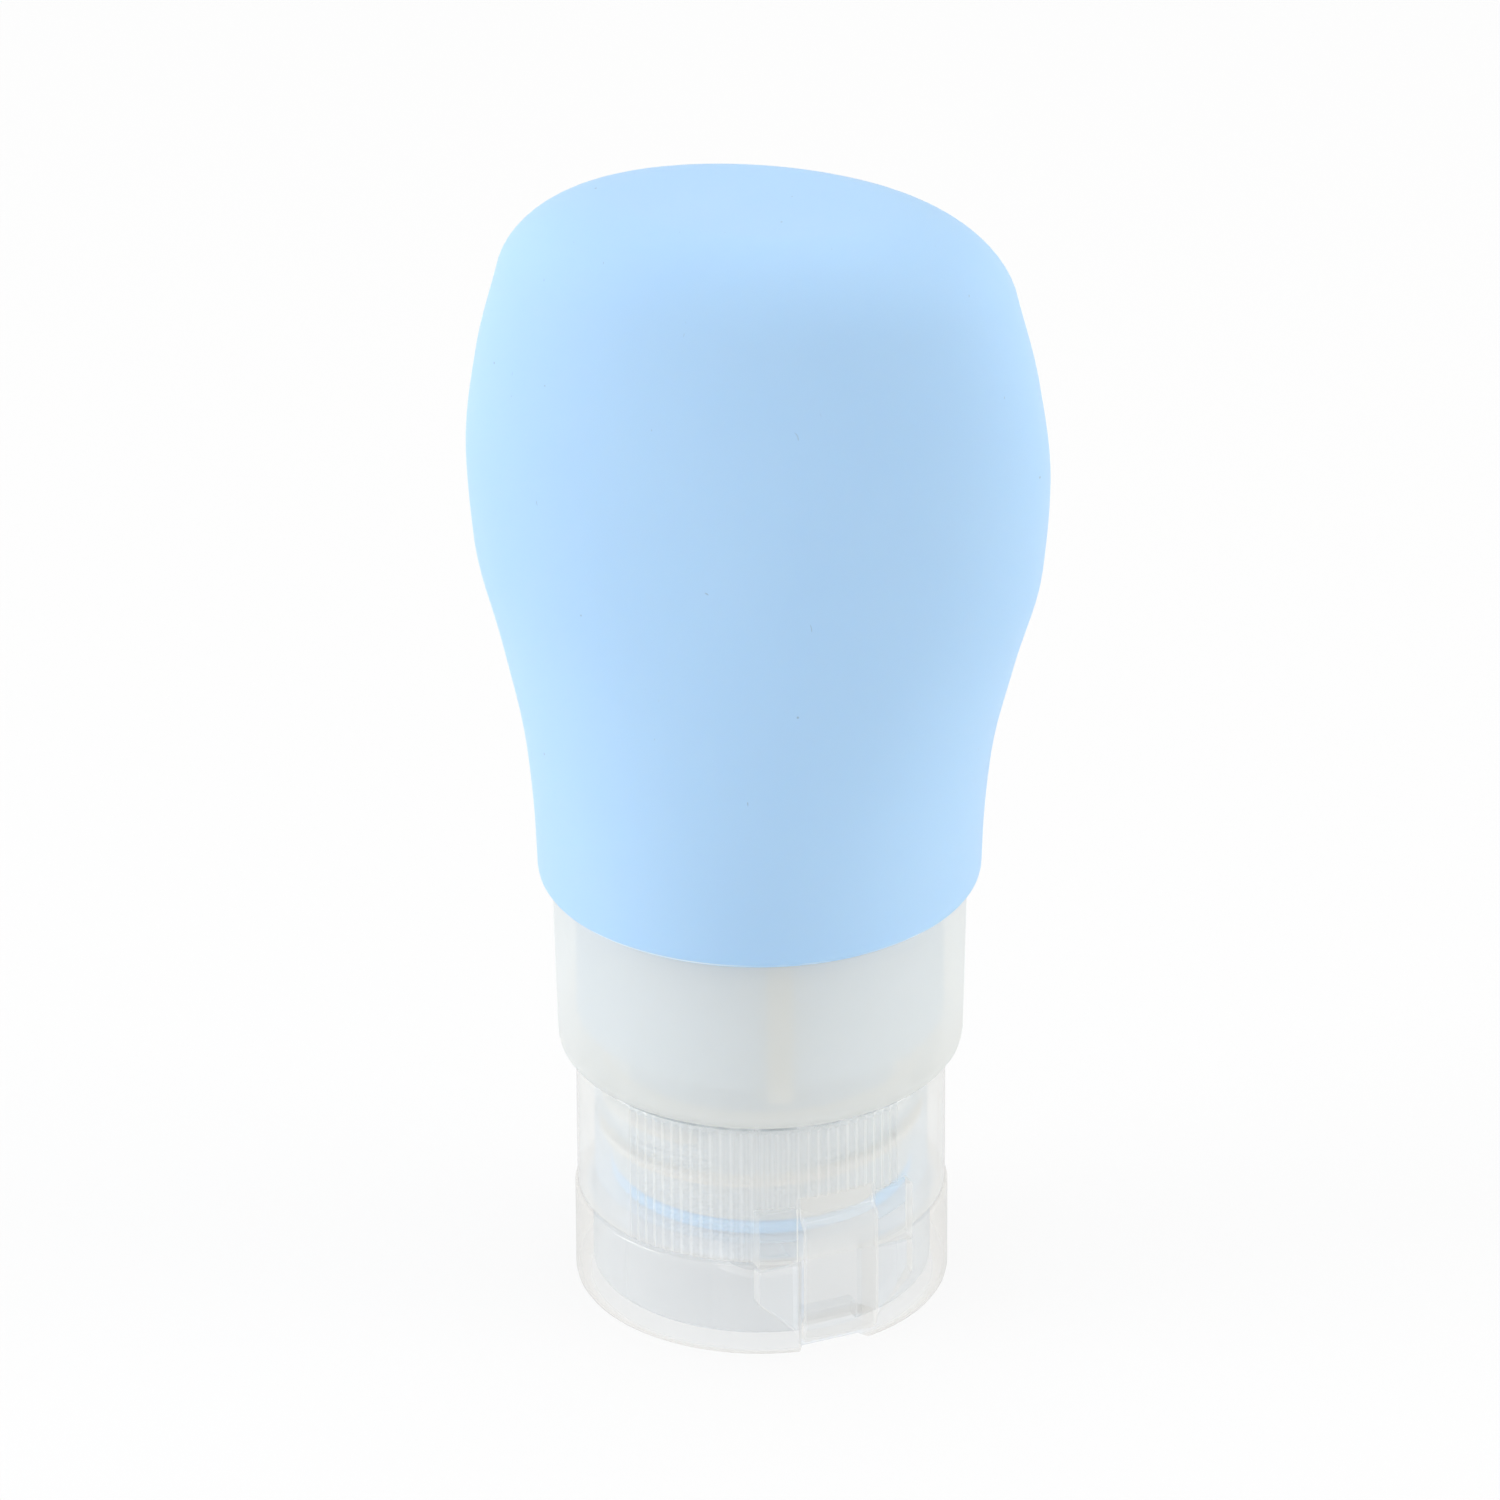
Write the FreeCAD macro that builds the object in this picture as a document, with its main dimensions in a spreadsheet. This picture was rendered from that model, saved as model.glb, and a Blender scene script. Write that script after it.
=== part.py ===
import FreeCAD, Part
import math
import os

import Sketcher

# A travel squeeze bottle, standing on its flip lid. Millimetres, +Z up.
# The origin is on the bottle's axis, on the lid's outer face. The lid's hinge is on the -Y side.

# Driving dimensions: name, value and what it measures.
SIZES = (
    # Threaded tube, which the cap, the lid, the valve and the collar are sized from
    ("tube_radius", 12.7, "outside of the threaded tube"),
    ("tube_wall", 1.6, "thickness of the threaded tube"),
    ("thread_pitch", 3.5, "rise of the thread in one turn"),
    ("thread_depth", 1.0, "height of the thread's ridge"),
    ("thread_crest", 0.7, "width of the ridge at its top"),
    ("thread_foot", 1.5, "width of the ridge at its foot"),
    ("thread_sink", 0.25, "depth of the ridge's root in the wall"),
    ("thread_clearance", 0.4, "gap between a ridge's top and the wall that it faces"),
    ("thread_play", 0.3, "gap between the two ridges where they bear"),
    ("thread_start", 1.9, "mouth of the tube to the middle of its thread's first end"),
    ("neck_thread_end", 3.2, "collar to the middle of the tube's thread's last end"),
    ("cap_thread_end", 3.3, "open edge of the cap to the middle of its thread's last end"),
    # Screw cap
    ("seam_gap", 0.15, "gap between the lid's rim and the cap"),
    ("skirt_wall", 1.5, "thickness of the cap's wall"),
    ("skirt_height", 12.8, "height of the cap's wall"),
    ("deck", 1.0, "thickness of the cap's end"),
    ("sleeve_wall", 1.0, "thickness of the sleeve that holds the valve"),
    ("sleeve_height", 3.0, "height of the sleeve above the deck"),
    ("sleeve_clearance", 0.75, "gap between the sleeve and the silicone's mouth"),
    ("rib_height", 0.25, "how far a grip rib stands out"),
    ("rib_width", 0.62, "width of a grip rib at its root"),
    ("rib_crest", 0.22, "width of a grip rib at its top"),
    ("rib_sink", 0.3, "depth of a rib's root in the wall"),
    ("notch_half_width", 5.0, "half of the thumb notch"),
    ("notch_height", 2.2, "height of the thumb notch"),
    ("notch_depth", 0.6, "depth of the thumb notch"),
    # Flip lid
    ("lid_step", 0.2, "how far the lid's wall stands out past the cap's"),
    ("lid_height", 8.75, "lid's outer face to its rim"),
    ("lid_wall", 1.5, "thickness of the lid's wall"),
    ("lid_floor", 1.3, "thickness of the lid's flat end"),
    ("lid_edge", 0.8, "rounding of the lid's outer edge"),
    ("plug_clearance", 0.6, "gap between the plug ring and the spout"),
    ("plug_wall", 1.0, "thickness of the plug ring"),
    ("plug_reach", 0.45, "how far the plug ring goes into the spout"),
    # Hinge
    ("hinge_inset", 0.1, "face of the hinge lugs, inside the cap's wall"),
    ("hinge_half_width", 7.07, "half of the hinge's width"),
    ("lug_depth", 3.0, "lug's face to its root in the wall"),
    ("lug_height", 5.3, "height of a lug on the cap"),
    ("block_height", 3.15, "height of the outer side of a hinge block on the lid"),
    ("gusset_foot", 1.3, "height where a hinge block's slanted foot meets the strap's notch"),
    ("strap_half_width", 3.32, "half of the strap's width"),
    ("strap_gap", 0.25, "gap at each side of the strap"),
    ("strap_stand", 1.2, "how far the strap stands out from the lugs"),
    ("strap_thickness", 0.7, "thickness of the strap"),
    ("strap_recess", 0.3, "depth of the flat on the cap behind the strap's head"),
    ("strap_low", 1.6, "foot of the strap above the lid's outer face"),
    ("strap_foot", 1.5, "height of the strap's foot"),
    ("foot_slope", 0.5, "how far the foot's face slopes in"),
    ("strap_rise", 6.1, "top of the strap above the seam"),
    ("strap_head", 2.1, "height of the strap's head on the cap"),
    ("strap_slope", 1.5, "drop of the head's sloped top to the bending line"),
    ("shelf_width", 0.95, "width of the strap's upper edge, out from the bending line"),
    ("shelf_drop", 0.35, "drop of that edge"),
    ("shelf_round", 0.3, "slant of that edge's corner"),
    ("slot_depth", 1.5, "depth of the strap's notch in the lid"),
    ("slot_taper", 1.0, "how far each side of that notch closes in"),
    ("boss_depth", 1.5, "thickness of the boss behind the strap's foot"),
    # Collar
    ("collar_gap", 0.3, "gap between the cap and the collar"),
    ("collar_height", 16.3, "height of the collar"),
    ("collar_step", 1.45, "how far the collar stands out past the cap's wall"),
    ("collar_flare", 0.4, "how much the collar's radius grows towards the silicone"),
    ("collar_wall", 1.55, "thickness of the collar's wall beside the cap"),
    ("collar_floor", 3.2, "thickness of the collar's floor"),
    ("collar_edge", 1.5, "rounding of the collar's edge beside the cap"),
    ("key_width", 2.1, "width of the key inside the collar"),
    ("key_depth", 0.8, "how far the key stands in"),
    ("key_sink", 0.4, "depth of the key's root in the collar"),
    # Silicone body
    ("seat_clearance", 0.05, "gap between pieces that are pressed together"),
    ("silicone_wall", 1.8, "thickness of the silicone"),
    ("neck_wall", 1.7, "thickness of the silicone inside the threaded tube"),
    ("lip_thickness", 1.2, "thickness of the lip that is turned over the tube's mouth"),
    ("lip_gap", 0.15, "gap between the lip and the cap's deck"),
    ("shoulder_overhang", 1.15, "how far the silicone stands out past the collar"),
    ("shoulder_edge", 0.9, "rounding of the silicone's edge beside the collar"),
    ("body_height", 61.6, "collar to the closed end"),
    ("belly_half_width", 24.6, "half of the body's greatest width"),
    ("brow_half_width", 21.9, "half of the body's width where the closed end's rounding starts"),
    ("brow_half_depth", 12.0, "half of the body's depth there"),
    ("end_height", 7.7, "height of the closed end's rounding"),
    ("end_half_width", 20.5, "half of the closed end's width, before its rounding"),
    ("end_half_depth", 11.3, "half of the closed end's depth, before its rounding"),
    ("end_side_rounding", 9.7, "rounding of the closed end's narrow sides"),
    ("end_face_rounding", 5.0, "rounding of the closed end's wide faces"),
    # Valve
    ("valve_ledge", 2.6, "width of the deck that the valve's flange lies on"),
    ("valve_flange", 1.0, "thickness of the valve's flange"),
    ("valve_skin", 0.6, "thickness of the valve's slit disc"),
    ("valve_drop", 0.25, "how far the disc hangs into the spout"),
    ("valve_gap", 0.35, "gap between the valve's disc and the spout"),
    ("slit_width", 0.12, "width of each slit"),
    ("retainer_wall", 2.4, "width of the valve's retaining ring"),
    ("retainer_height", 1.6, "height of the retaining ring"),
    # Cutting tools
    ("overrun", 2.0, "how far a cut runs past the face that it goes through"),
)

# Angles, in degrees, counted from +X about +Z, and a share.
ANGLES = (
    ("body_turn", -36.8, "long axis of the silicone's oval"),
    ("key_turn", -108.0, "middle of the key inside the collar"),
    ("rib_pitch", 3.18, "angle between two grip ribs"),
    ("rib_turn", -113.0, "middle of the grip panel beside the hinge"),
    ("slit_share", 0.54, "reach of each slit, as a share of the disc's radius"),
)
RIBS_PER_PANEL = 29
PANEL_TURNS = (0, 180)

# The silicone's flanks, from the collar to the start of the end's rounding, as shares. At each height, the
# half width has gone this share of the way from the shoulder to the belly, or from the belly to the brow,
# and the half depth this share of the way from the shoulder to the brow.
FLANK_HEIGHT_SHARES = (0.0, 0.095, 0.23, 0.39, 0.55, 0.71, 0.87, 1.0)
BELLY_SHARES = (0.0, 0.04, 0.17, 0.51, 0.895, 1.0)
BROW_SHARES = (0.365, 1.0)
DEPTH_SHARES = (0.0, 0.04, 0.16, 0.34, 0.53, 0.70, 0.87, 1.0)
# The closed end is rounded by ovals at these angles of a quarter turn, in degrees.
END_ANGLES = (22, 42, 60, 76, 90)

doc = FreeCAD.newDocument("travel_squeeze_bottle")
sheet = doc.addObject("Spreadsheet::Sheet", "size")


def fill_sheet(rows):
    """Write each named value to the sheet, with its note, and make the name the cell's alias."""
    for number, (name, value, note) in enumerate(rows, start=1):
        cell = "B%d" % number
        sheet.set("A%d" % number, name)
        sheet.set(cell, str(value))
        sheet.set("C%d" % number, note)
        sheet.setAlias(cell, name)
    doc.recompute()


fill_sheet(SIZES + ANGLES)

# Radii, from the threaded tube outwards and inwards, as expressions of the sheet.
TUBE_BORE = "(size.tube_radius - size.tube_wall)"
SKIRT_BORE = "(size.tube_radius + size.thread_depth + size.thread_clearance)"
SKIRT_RADIUS = "(%s + size.skirt_wall)" % SKIRT_BORE
LID_RADIUS = "(%s + size.lid_step)" % SKIRT_RADIUS
COLLAR_LOW_RADIUS = "(%s + size.collar_step)" % SKIRT_RADIUS
COLLAR_HIGH_RADIUS = "(%s + size.collar_flare)" % COLLAR_LOW_RADIUS
COLLAR_BORE = "(%s - size.collar_wall)" % COLLAR_LOW_RADIUS
SHOULDER_RADIUS = "(%s + size.shoulder_overhang)" % COLLAR_HIGH_RADIUS
LINING_RADIUS = "(%s - size.seat_clearance)" % TUBE_BORE
MOUTH_RADIUS = "(%s - size.neck_wall)" % LINING_RADIUS
SLEEVE_OUTSIDE = "(%s - size.sleeve_clearance)" % MOUTH_RADIUS
SLEEVE_BORE = "(%s - size.sleeve_wall)" % SLEEVE_OUTSIDE
SPOUT_RADIUS = "(%s - size.valve_ledge)" % SLEEVE_BORE
PLUG_RADIUS = "(%s - size.plug_clearance)" % SPOUT_RADIUS
PLUG_BORE = "(%s - size.plug_wall)" % PLUG_RADIUS
RETAINER_BORE = "(%s - size.retainer_wall)" % SLEEVE_BORE
RIB_ROOT = "(%s - size.rib_sink)" % SKIRT_RADIUS
RIB_TOP = "(%s + size.rib_height)" % SKIRT_RADIUS

# Levels along the axis.
SEAM = "(size.lid_height + size.seam_gap)"
DECK_TOP = "(%s + size.deck)" % SEAM
CAP_TOP = "(%s + size.skirt_height)" % SEAM
COLLAR_BASE = "(%s + size.collar_gap)" % CAP_TOP
COLLAR_TOP = "(%s + size.collar_height)" % COLLAR_BASE
LIP_BASE = "(%s + size.lip_gap)" % DECK_TOP
LIP_TOP = "(%s + size.lip_thickness)" % LIP_BASE
TUBE_MOUTH = "(%s + size.seat_clearance)" % LIP_TOP
BODY_BASE = "(%s + size.seat_clearance)" % COLLAR_TOP
STRAP_TOP = "(%s + size.strap_rise)" % SEAM

# Places across the hinge, counted from the axis towards -Y, and half widths.
HINGE_FACE = "(%s - size.hinge_inset)" % SKIRT_RADIUS
STRAP_FACE = "(%s + size.strap_stand)" % HINGE_FACE
STRAP_BACK = "(%s - size.strap_thickness)" % STRAP_FACE
STRAP_SEAT = "(%s - size.strap_recess)" % HINGE_FACE
SLOT_FLOOR = "(%s - size.slot_depth)" % HINGE_FACE
SLOT_HALF = "(size.strap_half_width + size.strap_gap)"
SLOT_INNER_HALF = "(%s - size.slot_taper)" % SLOT_HALF


def value(expression):
    """The number that an expression of the sheet has now."""
    return float(sheet.evalExpression(expression.replace("size.", "")))


def new_body(name):
    body = doc.addObject("PartDesign::Body", name)
    body.Label = name
    return body


def outline(body, name, role, corners, level=None, turn=None):
    """A closed sketch of straight sides on an origin plane, each corner bound to two expressions.

    level lifts the sketch off its plane, and turn is its angle about the plane's normal."""
    sketch = body.newObject("Sketcher::SketchObject", name)
    plane = [feature for feature in body.Origin.OriginFeatures if feature.Role == role][0]
    sketch.AttachmentSupport = [(plane, "")]
    sketch.MapMode = "FlatFace"
    points = [FreeCAD.Vector(value(across), value(up), 0) for across, up in corners]
    count = len(points)
    for i in range(count):
        sketch.addGeometry(Part.LineSegment(points[i], points[(i + 1) % count]), False)
    for i in range(count):
        sketch.addConstraint(Sketcher.Constraint("Coincident", i, 2, (i + 1) % count, 1))
    for i, corner in enumerate(corners):
        for kind, place, expression in zip(("DistanceX", "DistanceY"), points[i], corner):
            number = sketch.addConstraint(Sketcher.Constraint(kind, -1, 1, i, 1, place))
            sketch.setExpression("Constraints[%d]" % number, expression)
    if level is not None:
        sketch.setExpression("AttachmentOffset.Base.z", level)
    if turn is not None:
        sketch.setExpression("AttachmentOffset.Rotation.Angle", turn)
    doc.recompute()
    return sketch


def revolve(body, name, corners):
    """Turn an outline of radius and height about the axis."""
    profile = outline(body, name + "_profile", "XZ_Plane", corners)
    feature = body.newObject("PartDesign::Revolution", name)
    feature.Profile = profile
    feature.ReferenceAxis = (profile, ["V_Axis"])
    feature.Angle = 360
    doc.recompute()
    return feature


def raise_up(body, name, kind, corners, base, height, turn=None):
    """Pad or pocket an outline of the XY plane from base upwards, by height."""
    profile = outline(body, name + "_profile", "XY_Plane", corners, base, turn)
    feature = body.newObject(kind, name)
    feature.Profile = profile
    feature.setExpression("Length", height)
    feature.Reversed = kind == "PartDesign::Pocket"
    doc.recompute()
    return feature


def rectangle(half_width, near, far):
    """Corners of a rectangle across the Y axis, between two places along it."""
    left = "-" + half_width
    return [(left, near), (half_width, near), (half_width, far), (left, far)]


def clear_bore(body, name, radius, base, height):
    """Cut a round hole along the axis, from base upwards."""
    sketch = body.newObject("Sketcher::SketchObject", name + "_profile")
    plane = [feature for feature in body.Origin.OriginFeatures if feature.Role == "XY_Plane"][0]
    sketch.AttachmentSupport = [(plane, "")]
    sketch.MapMode = "FlatFace"
    sketch.addGeometry(Part.Circle(FreeCAD.Vector(0, 0, 0), FreeCAD.Vector(0, 0, 1), value(radius)), False)
    sketch.addConstraint(Sketcher.Constraint("Coincident", 0, 3, -1, 1))
    number = sketch.addConstraint(Sketcher.Constraint("Radius", 0, value(radius)))
    sketch.setExpression("Constraints[%d]" % number, radius)
    sketch.setExpression("AttachmentOffset.Base.z", base)
    doc.recompute()
    feature = body.newObject("PartDesign::Pocket", name)
    feature.Profile = sketch
    feature.setExpression("Length", height)
    feature.Reversed = True
    doc.recompute()
    return feature


def edges_at(feature, radius, height):
    """Names of a feature's round edges with this radius at this height."""
    found = []
    for number, edge in enumerate(feature.Shape.Edges, start=1):
        if not isinstance(edge.Curve, Part.Circle):
            continue
        same_radius = math.isclose(edge.Curve.Radius, radius)
        same_height = math.isclose(edge.Curve.Center.z, height, abs_tol=1e-6)
        if same_radius and same_height:
            found.append("Edge%d" % number)
    return found


def round_off(body, name, radius, height, rounding):
    """Fillet the round edges of the body's last feature that have this radius and height."""
    tip = body.Tip
    feature = body.newObject("PartDesign::Fillet", name)
    feature.Base = (tip, edges_at(tip, value(radius), value(height)))
    feature.setExpression("Radius", rounding)
    doc.recompute()
    return feature


def thread(body, name, wall, middle, rise, inward):
    """Wind the thread's ridge on a wall, from the height of its first end's middle upwards."""
    side = "-" if inward else "+"
    root = "%s %s size.thread_sink" % (wall, "+" if inward else "-")
    crest = "%s %s size.thread_depth" % (wall, side)
    half_foot = "size.thread_foot / 2"
    half_crest = "size.thread_crest / 2"
    corners = [
        (root, "%s - %s" % (middle, half_foot)),
        (crest, "%s - %s" % (middle, half_crest)),
        (crest, "%s + %s" % (middle, half_crest)),
        (root, "%s + %s" % (middle, half_foot)),
    ]
    profile = outline(body, name + "_profile", "XZ_Plane", corners)
    feature = body.newObject("PartDesign::AdditiveHelix", name)
    feature.Profile = profile
    feature.ReferenceAxis = (profile, ["V_Axis"])
    feature.Mode = 0
    feature.setExpression("Pitch", "size.thread_pitch")
    feature.setExpression("Height", rise)
    doc.recompute()
    return feature


# Flip lid: a shallow cup with two hinge blocks, a notch for the strap, and a plug ring on its floor.
lid = new_body("flip_lid")
revolve(lid, "lid_cup", [
    ("0", "0"),
    (LID_RADIUS, "0"),
    (LID_RADIUS, "size.lid_height"),
    ("0", "size.lid_height"),
])
round_off(lid, "lid_rounding", LID_RADIUS, "0", "size.lid_edge")
for side, sign in (("left", "-"), ("right", "")):
    block_profile = outline(lid, "block_profile_" + side, "XZ_Plane", [
        (sign + SLOT_HALF, "size.gusset_foot"),
        (sign + SLOT_HALF, "size.lid_height"),
        (sign + "size.hinge_half_width", "size.lid_height"),
        (sign + "size.hinge_half_width", "size.lid_height - size.block_height"),
    ], HINGE_FACE)
    block = lid.newObject("PartDesign::Pad", "hinge_block_" + side)
    block.Profile = block_profile
    block.setExpression("Length", "size.lug_depth")
    block.Reversed = True
    doc.recompute()
clear_bore(lid, "lid_hollow", "%s - size.lid_wall" % LID_RADIUS, "size.lid_floor", "size.lid_height")
slot_mouth = "-(%s + size.overrun)" % LID_RADIUS
raise_up(lid, "strap_slot", "PartDesign::Pocket", [
    ("-" + SLOT_HALF, slot_mouth),
    (SLOT_HALF, slot_mouth),
    (SLOT_HALF, "-" + HINGE_FACE),
    (SLOT_INNER_HALF, "-" + SLOT_FLOOR),
    ("-" + SLOT_INNER_HALF, "-" + SLOT_FLOOR),
    ("-" + SLOT_HALF, "-" + HINGE_FACE),
], "-size.overrun", "size.lid_height + 2 * size.overrun")
raise_up(lid, "foot_boss", "PartDesign::Pad",
         rectangle(SLOT_INNER_HALF, "-" + SLOT_FLOOR, "-(%s - size.boss_depth)" % SLOT_FLOOR),
         "size.lid_floor / 2", "size.strap_low + size.strap_foot - size.lid_floor / 2")
revolve(lid, "plug_ring", [
    (PLUG_BORE, "size.lid_floor / 2"),
    (PLUG_RADIUS, "size.lid_floor / 2"),
    (PLUG_RADIUS, SEAM + " + size.plug_reach"),
    (PLUG_BORE, SEAM + " + size.plug_reach"),
])

# Screw cap: skirt, deck with the spout hole, valve sleeve, hinge lugs, grip ribs and inner thread.
cap = new_body("screw_cap")
revolve(cap, "skirt", [
    (SPOUT_RADIUS, SEAM),
    (SKIRT_RADIUS, SEAM),
    (SKIRT_RADIUS, CAP_TOP),
    (SPOUT_RADIUS, CAP_TOP),
])
raise_up(cap, "hinge_lugs", "PartDesign::Pad",
         rectangle("size.hinge_half_width", "-" + HINGE_FACE, "-(%s - size.lug_depth)" % HINGE_FACE),
         SEAM, "size.lug_height")
for number, panel_turn in enumerate(PANEL_TURNS, start=1):
    first_turn = "size.rib_turn + %d - size.rib_pitch * %d / 2" % (panel_turn, RIBS_PER_PANEL - 1)
    rib = raise_up(cap, "rib_%d" % number, "PartDesign::Pad", [
        (RIB_ROOT, "-size.rib_width / 2"),
        (RIB_TOP, "-size.rib_crest / 2"),
        (RIB_TOP, "size.rib_crest / 2"),
        (RIB_ROOT, "size.rib_width / 2"),
    ], SEAM, "size.skirt_height", first_turn)
    panel = cap.newObject("PartDesign::PolarPattern", "grip_panel_%d" % number)
    panel.Originals = [rib]
    panel.Axis = (rib.Profile[0], ["N_Axis"])
    panel.setExpression("Angle", "size.rib_pitch * %d" % (RIBS_PER_PANEL - 1))
    panel.Occurrences = RIBS_PER_PANEL
    cap.Tip = panel
    doc.recompute()
raise_up(cap, "strap_flat", "PartDesign::Pocket",
         rectangle(SLOT_HALF, "-(%s + size.overrun)" % SKIRT_RADIUS, "-" + STRAP_SEAT),
         SEAM, "size.strap_rise")
notch_floor = "%s - size.notch_depth" % SKIRT_RADIUS
raise_up(cap, "thumb_notch", "PartDesign::Pocket",
         rectangle("size.notch_half_width", notch_floor, "%s + size.overrun" % SKIRT_RADIUS),
         SEAM, "size.notch_height")
clear_bore(cap, "skirt_hollow", SKIRT_BORE, DECK_TOP, "size.skirt_height")
revolve(cap, "valve_sleeve", [
    (SLEEVE_BORE, SEAM + " + size.deck / 2"),
    (SLEEVE_OUTSIDE, SEAM + " + size.deck / 2"),
    (SLEEVE_OUTSIDE, DECK_TOP + " + size.sleeve_height"),
    (SLEEVE_BORE, DECK_TOP + " + size.sleeve_height"),
])
# The cap's ridge lies above the tube's, and bears on it when the cap is screwed home.
NECK_RIDGE = "(%s + size.thread_start)" % TUBE_MOUTH
RIDGE_STEP = "((size.thread_foot + size.thread_crest) / 2 + size.thread_play)"
CAP_RIDGE = "(%s + %s)" % (NECK_RIDGE, RIDGE_STEP)
thread(cap, "cap_thread", SKIRT_BORE, CAP_RIDGE, "%s - size.cap_thread_end - %s" % (CAP_TOP, CAP_RIDGE), True)

# Strap: it bridges the seam between the lugs. Its head is on the cap, and its foot on the lid's boss.
strap = new_body("hinge_strap")
bend_line = "(%s - size.strap_slope)" % STRAP_TOP
foot_top = "(size.strap_low + size.strap_foot)"
head_foot = "(%s - size.strap_head)" % STRAP_TOP
strap_profile = outline(strap, "strap_profile", "YZ_Plane", [
    ("-" + STRAP_SEAT, STRAP_TOP),
    ("-(%s - size.shelf_width)" % STRAP_FACE, bend_line),
    ("-(%s - size.shelf_round)" % STRAP_FACE, bend_line + " - size.shelf_drop"),
    ("-" + STRAP_FACE, bend_line + " - size.shelf_drop - size.shelf_round"),
    ("-" + STRAP_FACE, foot_top),
    ("-(%s - size.foot_slope)" % STRAP_FACE, "size.strap_low"),
    ("-" + STRAP_BACK, "size.strap_low"),
    ("-" + STRAP_BACK, head_foot + " - size.strap_thickness"),
    ("-" + STRAP_SEAT, head_foot),
])
strap_plate = strap.newObject("PartDesign::Pad", "strap_plate")
strap_plate.Profile = strap_profile
strap_plate.setExpression("Length", "2 * size.strap_half_width")
strap_plate.Midplane = True
doc.recompute()
foot_half = "size.strap_half_width"
foot_inner_half = "(%s - size.slot_taper)" % foot_half
raise_up(strap, "strap_foot", "PartDesign::Pad", [
    ("-" + foot_half, "-(%s + size.foot_slope / 4)" % STRAP_BACK),
    (foot_half, "-(%s + size.foot_slope / 4)" % STRAP_BACK),
    (foot_half, "-" + HINGE_FACE),
    (foot_inner_half, "-" + SLOT_FLOOR),
    ("-" + foot_inner_half, "-" + SLOT_FLOOR),
    ("-" + foot_half, "-" + HINGE_FACE),
], "size.strap_low", "size.strap_foot")

# Valve: a slit disc of silicone on a flange that lies on the deck inside the sleeve.
valve = new_body("valve_membrane")
valve_outside = "(%s - size.seat_clearance)" % SLEEVE_BORE
valve_seat = "(%s + size.seat_clearance)" % DECK_TOP
flange_top = "(%s + size.valve_flange)" % valve_seat
disc_radius = "(%s - size.valve_gap)" % SPOUT_RADIUS
disc_low = "(%s - size.valve_drop)" % DECK_TOP
disc_top = "(%s + size.valve_skin)" % disc_low
revolve(valve, "valve_disc", [
    ("0", disc_low),
    (disc_radius, disc_low),
    (disc_radius, valve_seat),
    (valve_outside, valve_seat),
    (valve_outside, flange_top),
    (RETAINER_BORE + " - size.valve_gap", flange_top),
    (disc_radius + " - size.valve_skin", disc_top),
    ("0", disc_top),
])
arm = "(%s * size.slit_share)" % disc_radius
cut = "size.slit_width / 2"
raise_up(valve, "slits", "PartDesign::Pocket", [
    (arm, "-" + cut), (arm, cut), (cut, cut),
    (cut, arm), ("-" + cut, arm), ("-" + cut, cut),
    ("-" + arm, cut), ("-" + arm, "-" + cut), ("-" + cut, "-" + cut),
    ("-" + cut, "-" + arm), (cut, "-" + arm), (cut, "-" + cut),
], disc_low + " - size.overrun", "size.valve_skin + 2 * size.overrun")

# Retainer: a ring pressed into the sleeve, which holds the valve's flange on the deck.
retainer = new_body("valve_retainer")
retainer_low = "(%s + size.seat_clearance)" % flange_top
retainer_top = "(%s + size.retainer_height)" % retainer_low
revolve(retainer, "retainer_ring", [
    (RETAINER_BORE, retainer_low),
    (valve_outside, retainer_low),
    (valve_outside, retainer_top),
    (RETAINER_BORE, retainer_top),
])

# Collar: an open cup round the silicone's neck, with the threaded tube under its floor.
collar = new_body("threaded_collar")
floor_top = "(%s + size.collar_floor)" % COLLAR_BASE
revolve(collar, "collar_cup", [
    (TUBE_BORE, TUBE_MOUTH),
    ("size.tube_radius", TUBE_MOUTH),
    ("size.tube_radius", COLLAR_BASE),
    (COLLAR_LOW_RADIUS, COLLAR_BASE),
    (COLLAR_HIGH_RADIUS, COLLAR_TOP),
    (COLLAR_BORE, COLLAR_TOP),
    (COLLAR_BORE, floor_top),
    (TUBE_BORE, floor_top),
])
round_off(collar, "collar_rounding", COLLAR_LOW_RADIUS, COLLAR_BASE, "size.collar_edge")
key_face = "(%s - size.key_depth)" % COLLAR_BORE
key_root = "(%s + size.key_sink)" % COLLAR_BORE
key_half = "size.key_width / 2"
raise_up(collar, "neck_key", "PartDesign::Pad", [
    (key_face, "-" + key_half), (key_root, "-" + key_half), (key_root, key_half), (key_face, key_half),
], COLLAR_BASE + " + size.collar_floor / 2", "size.collar_height - size.collar_floor / 2", "size.key_turn")
neck_rise = "%s - size.neck_thread_end - %s" % (COLLAR_BASE, NECK_RIDGE)
thread(collar, "neck_thread", "size.tube_radius", NECK_RIDGE, neck_rise, False)


# Silicone body: ovals lofted from the collar to the closed end, less the same ovals one wall smaller.
def blend(start, end, share):
    """The size at this share of the way from one named size to another."""
    return "(%s + (%s - %s) * %s)" % (start, end, start, share)


def body_section(name, height, half_width, half_depth, inset):
    """One oval of the body at a height above its base, drawn in by inset at its edge and at both ends."""
    section = doc.addObject("Part::Ellipse", name)
    section.setExpression("MajorRadius", "max(%s; %s) - %s" % (half_width, half_depth, inset))
    section.setExpression("MinorRadius", "%s - %s" % (half_depth, inset))
    level = "%s + %s + %s * (1 - 2 * %s / size.body_height)" % (BODY_BASE, inset, height, inset)
    section.setExpression("Placement.Base.z", level)
    section.setExpression("Placement.Rotation.Angle", "size.body_turn")
    return section


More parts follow.
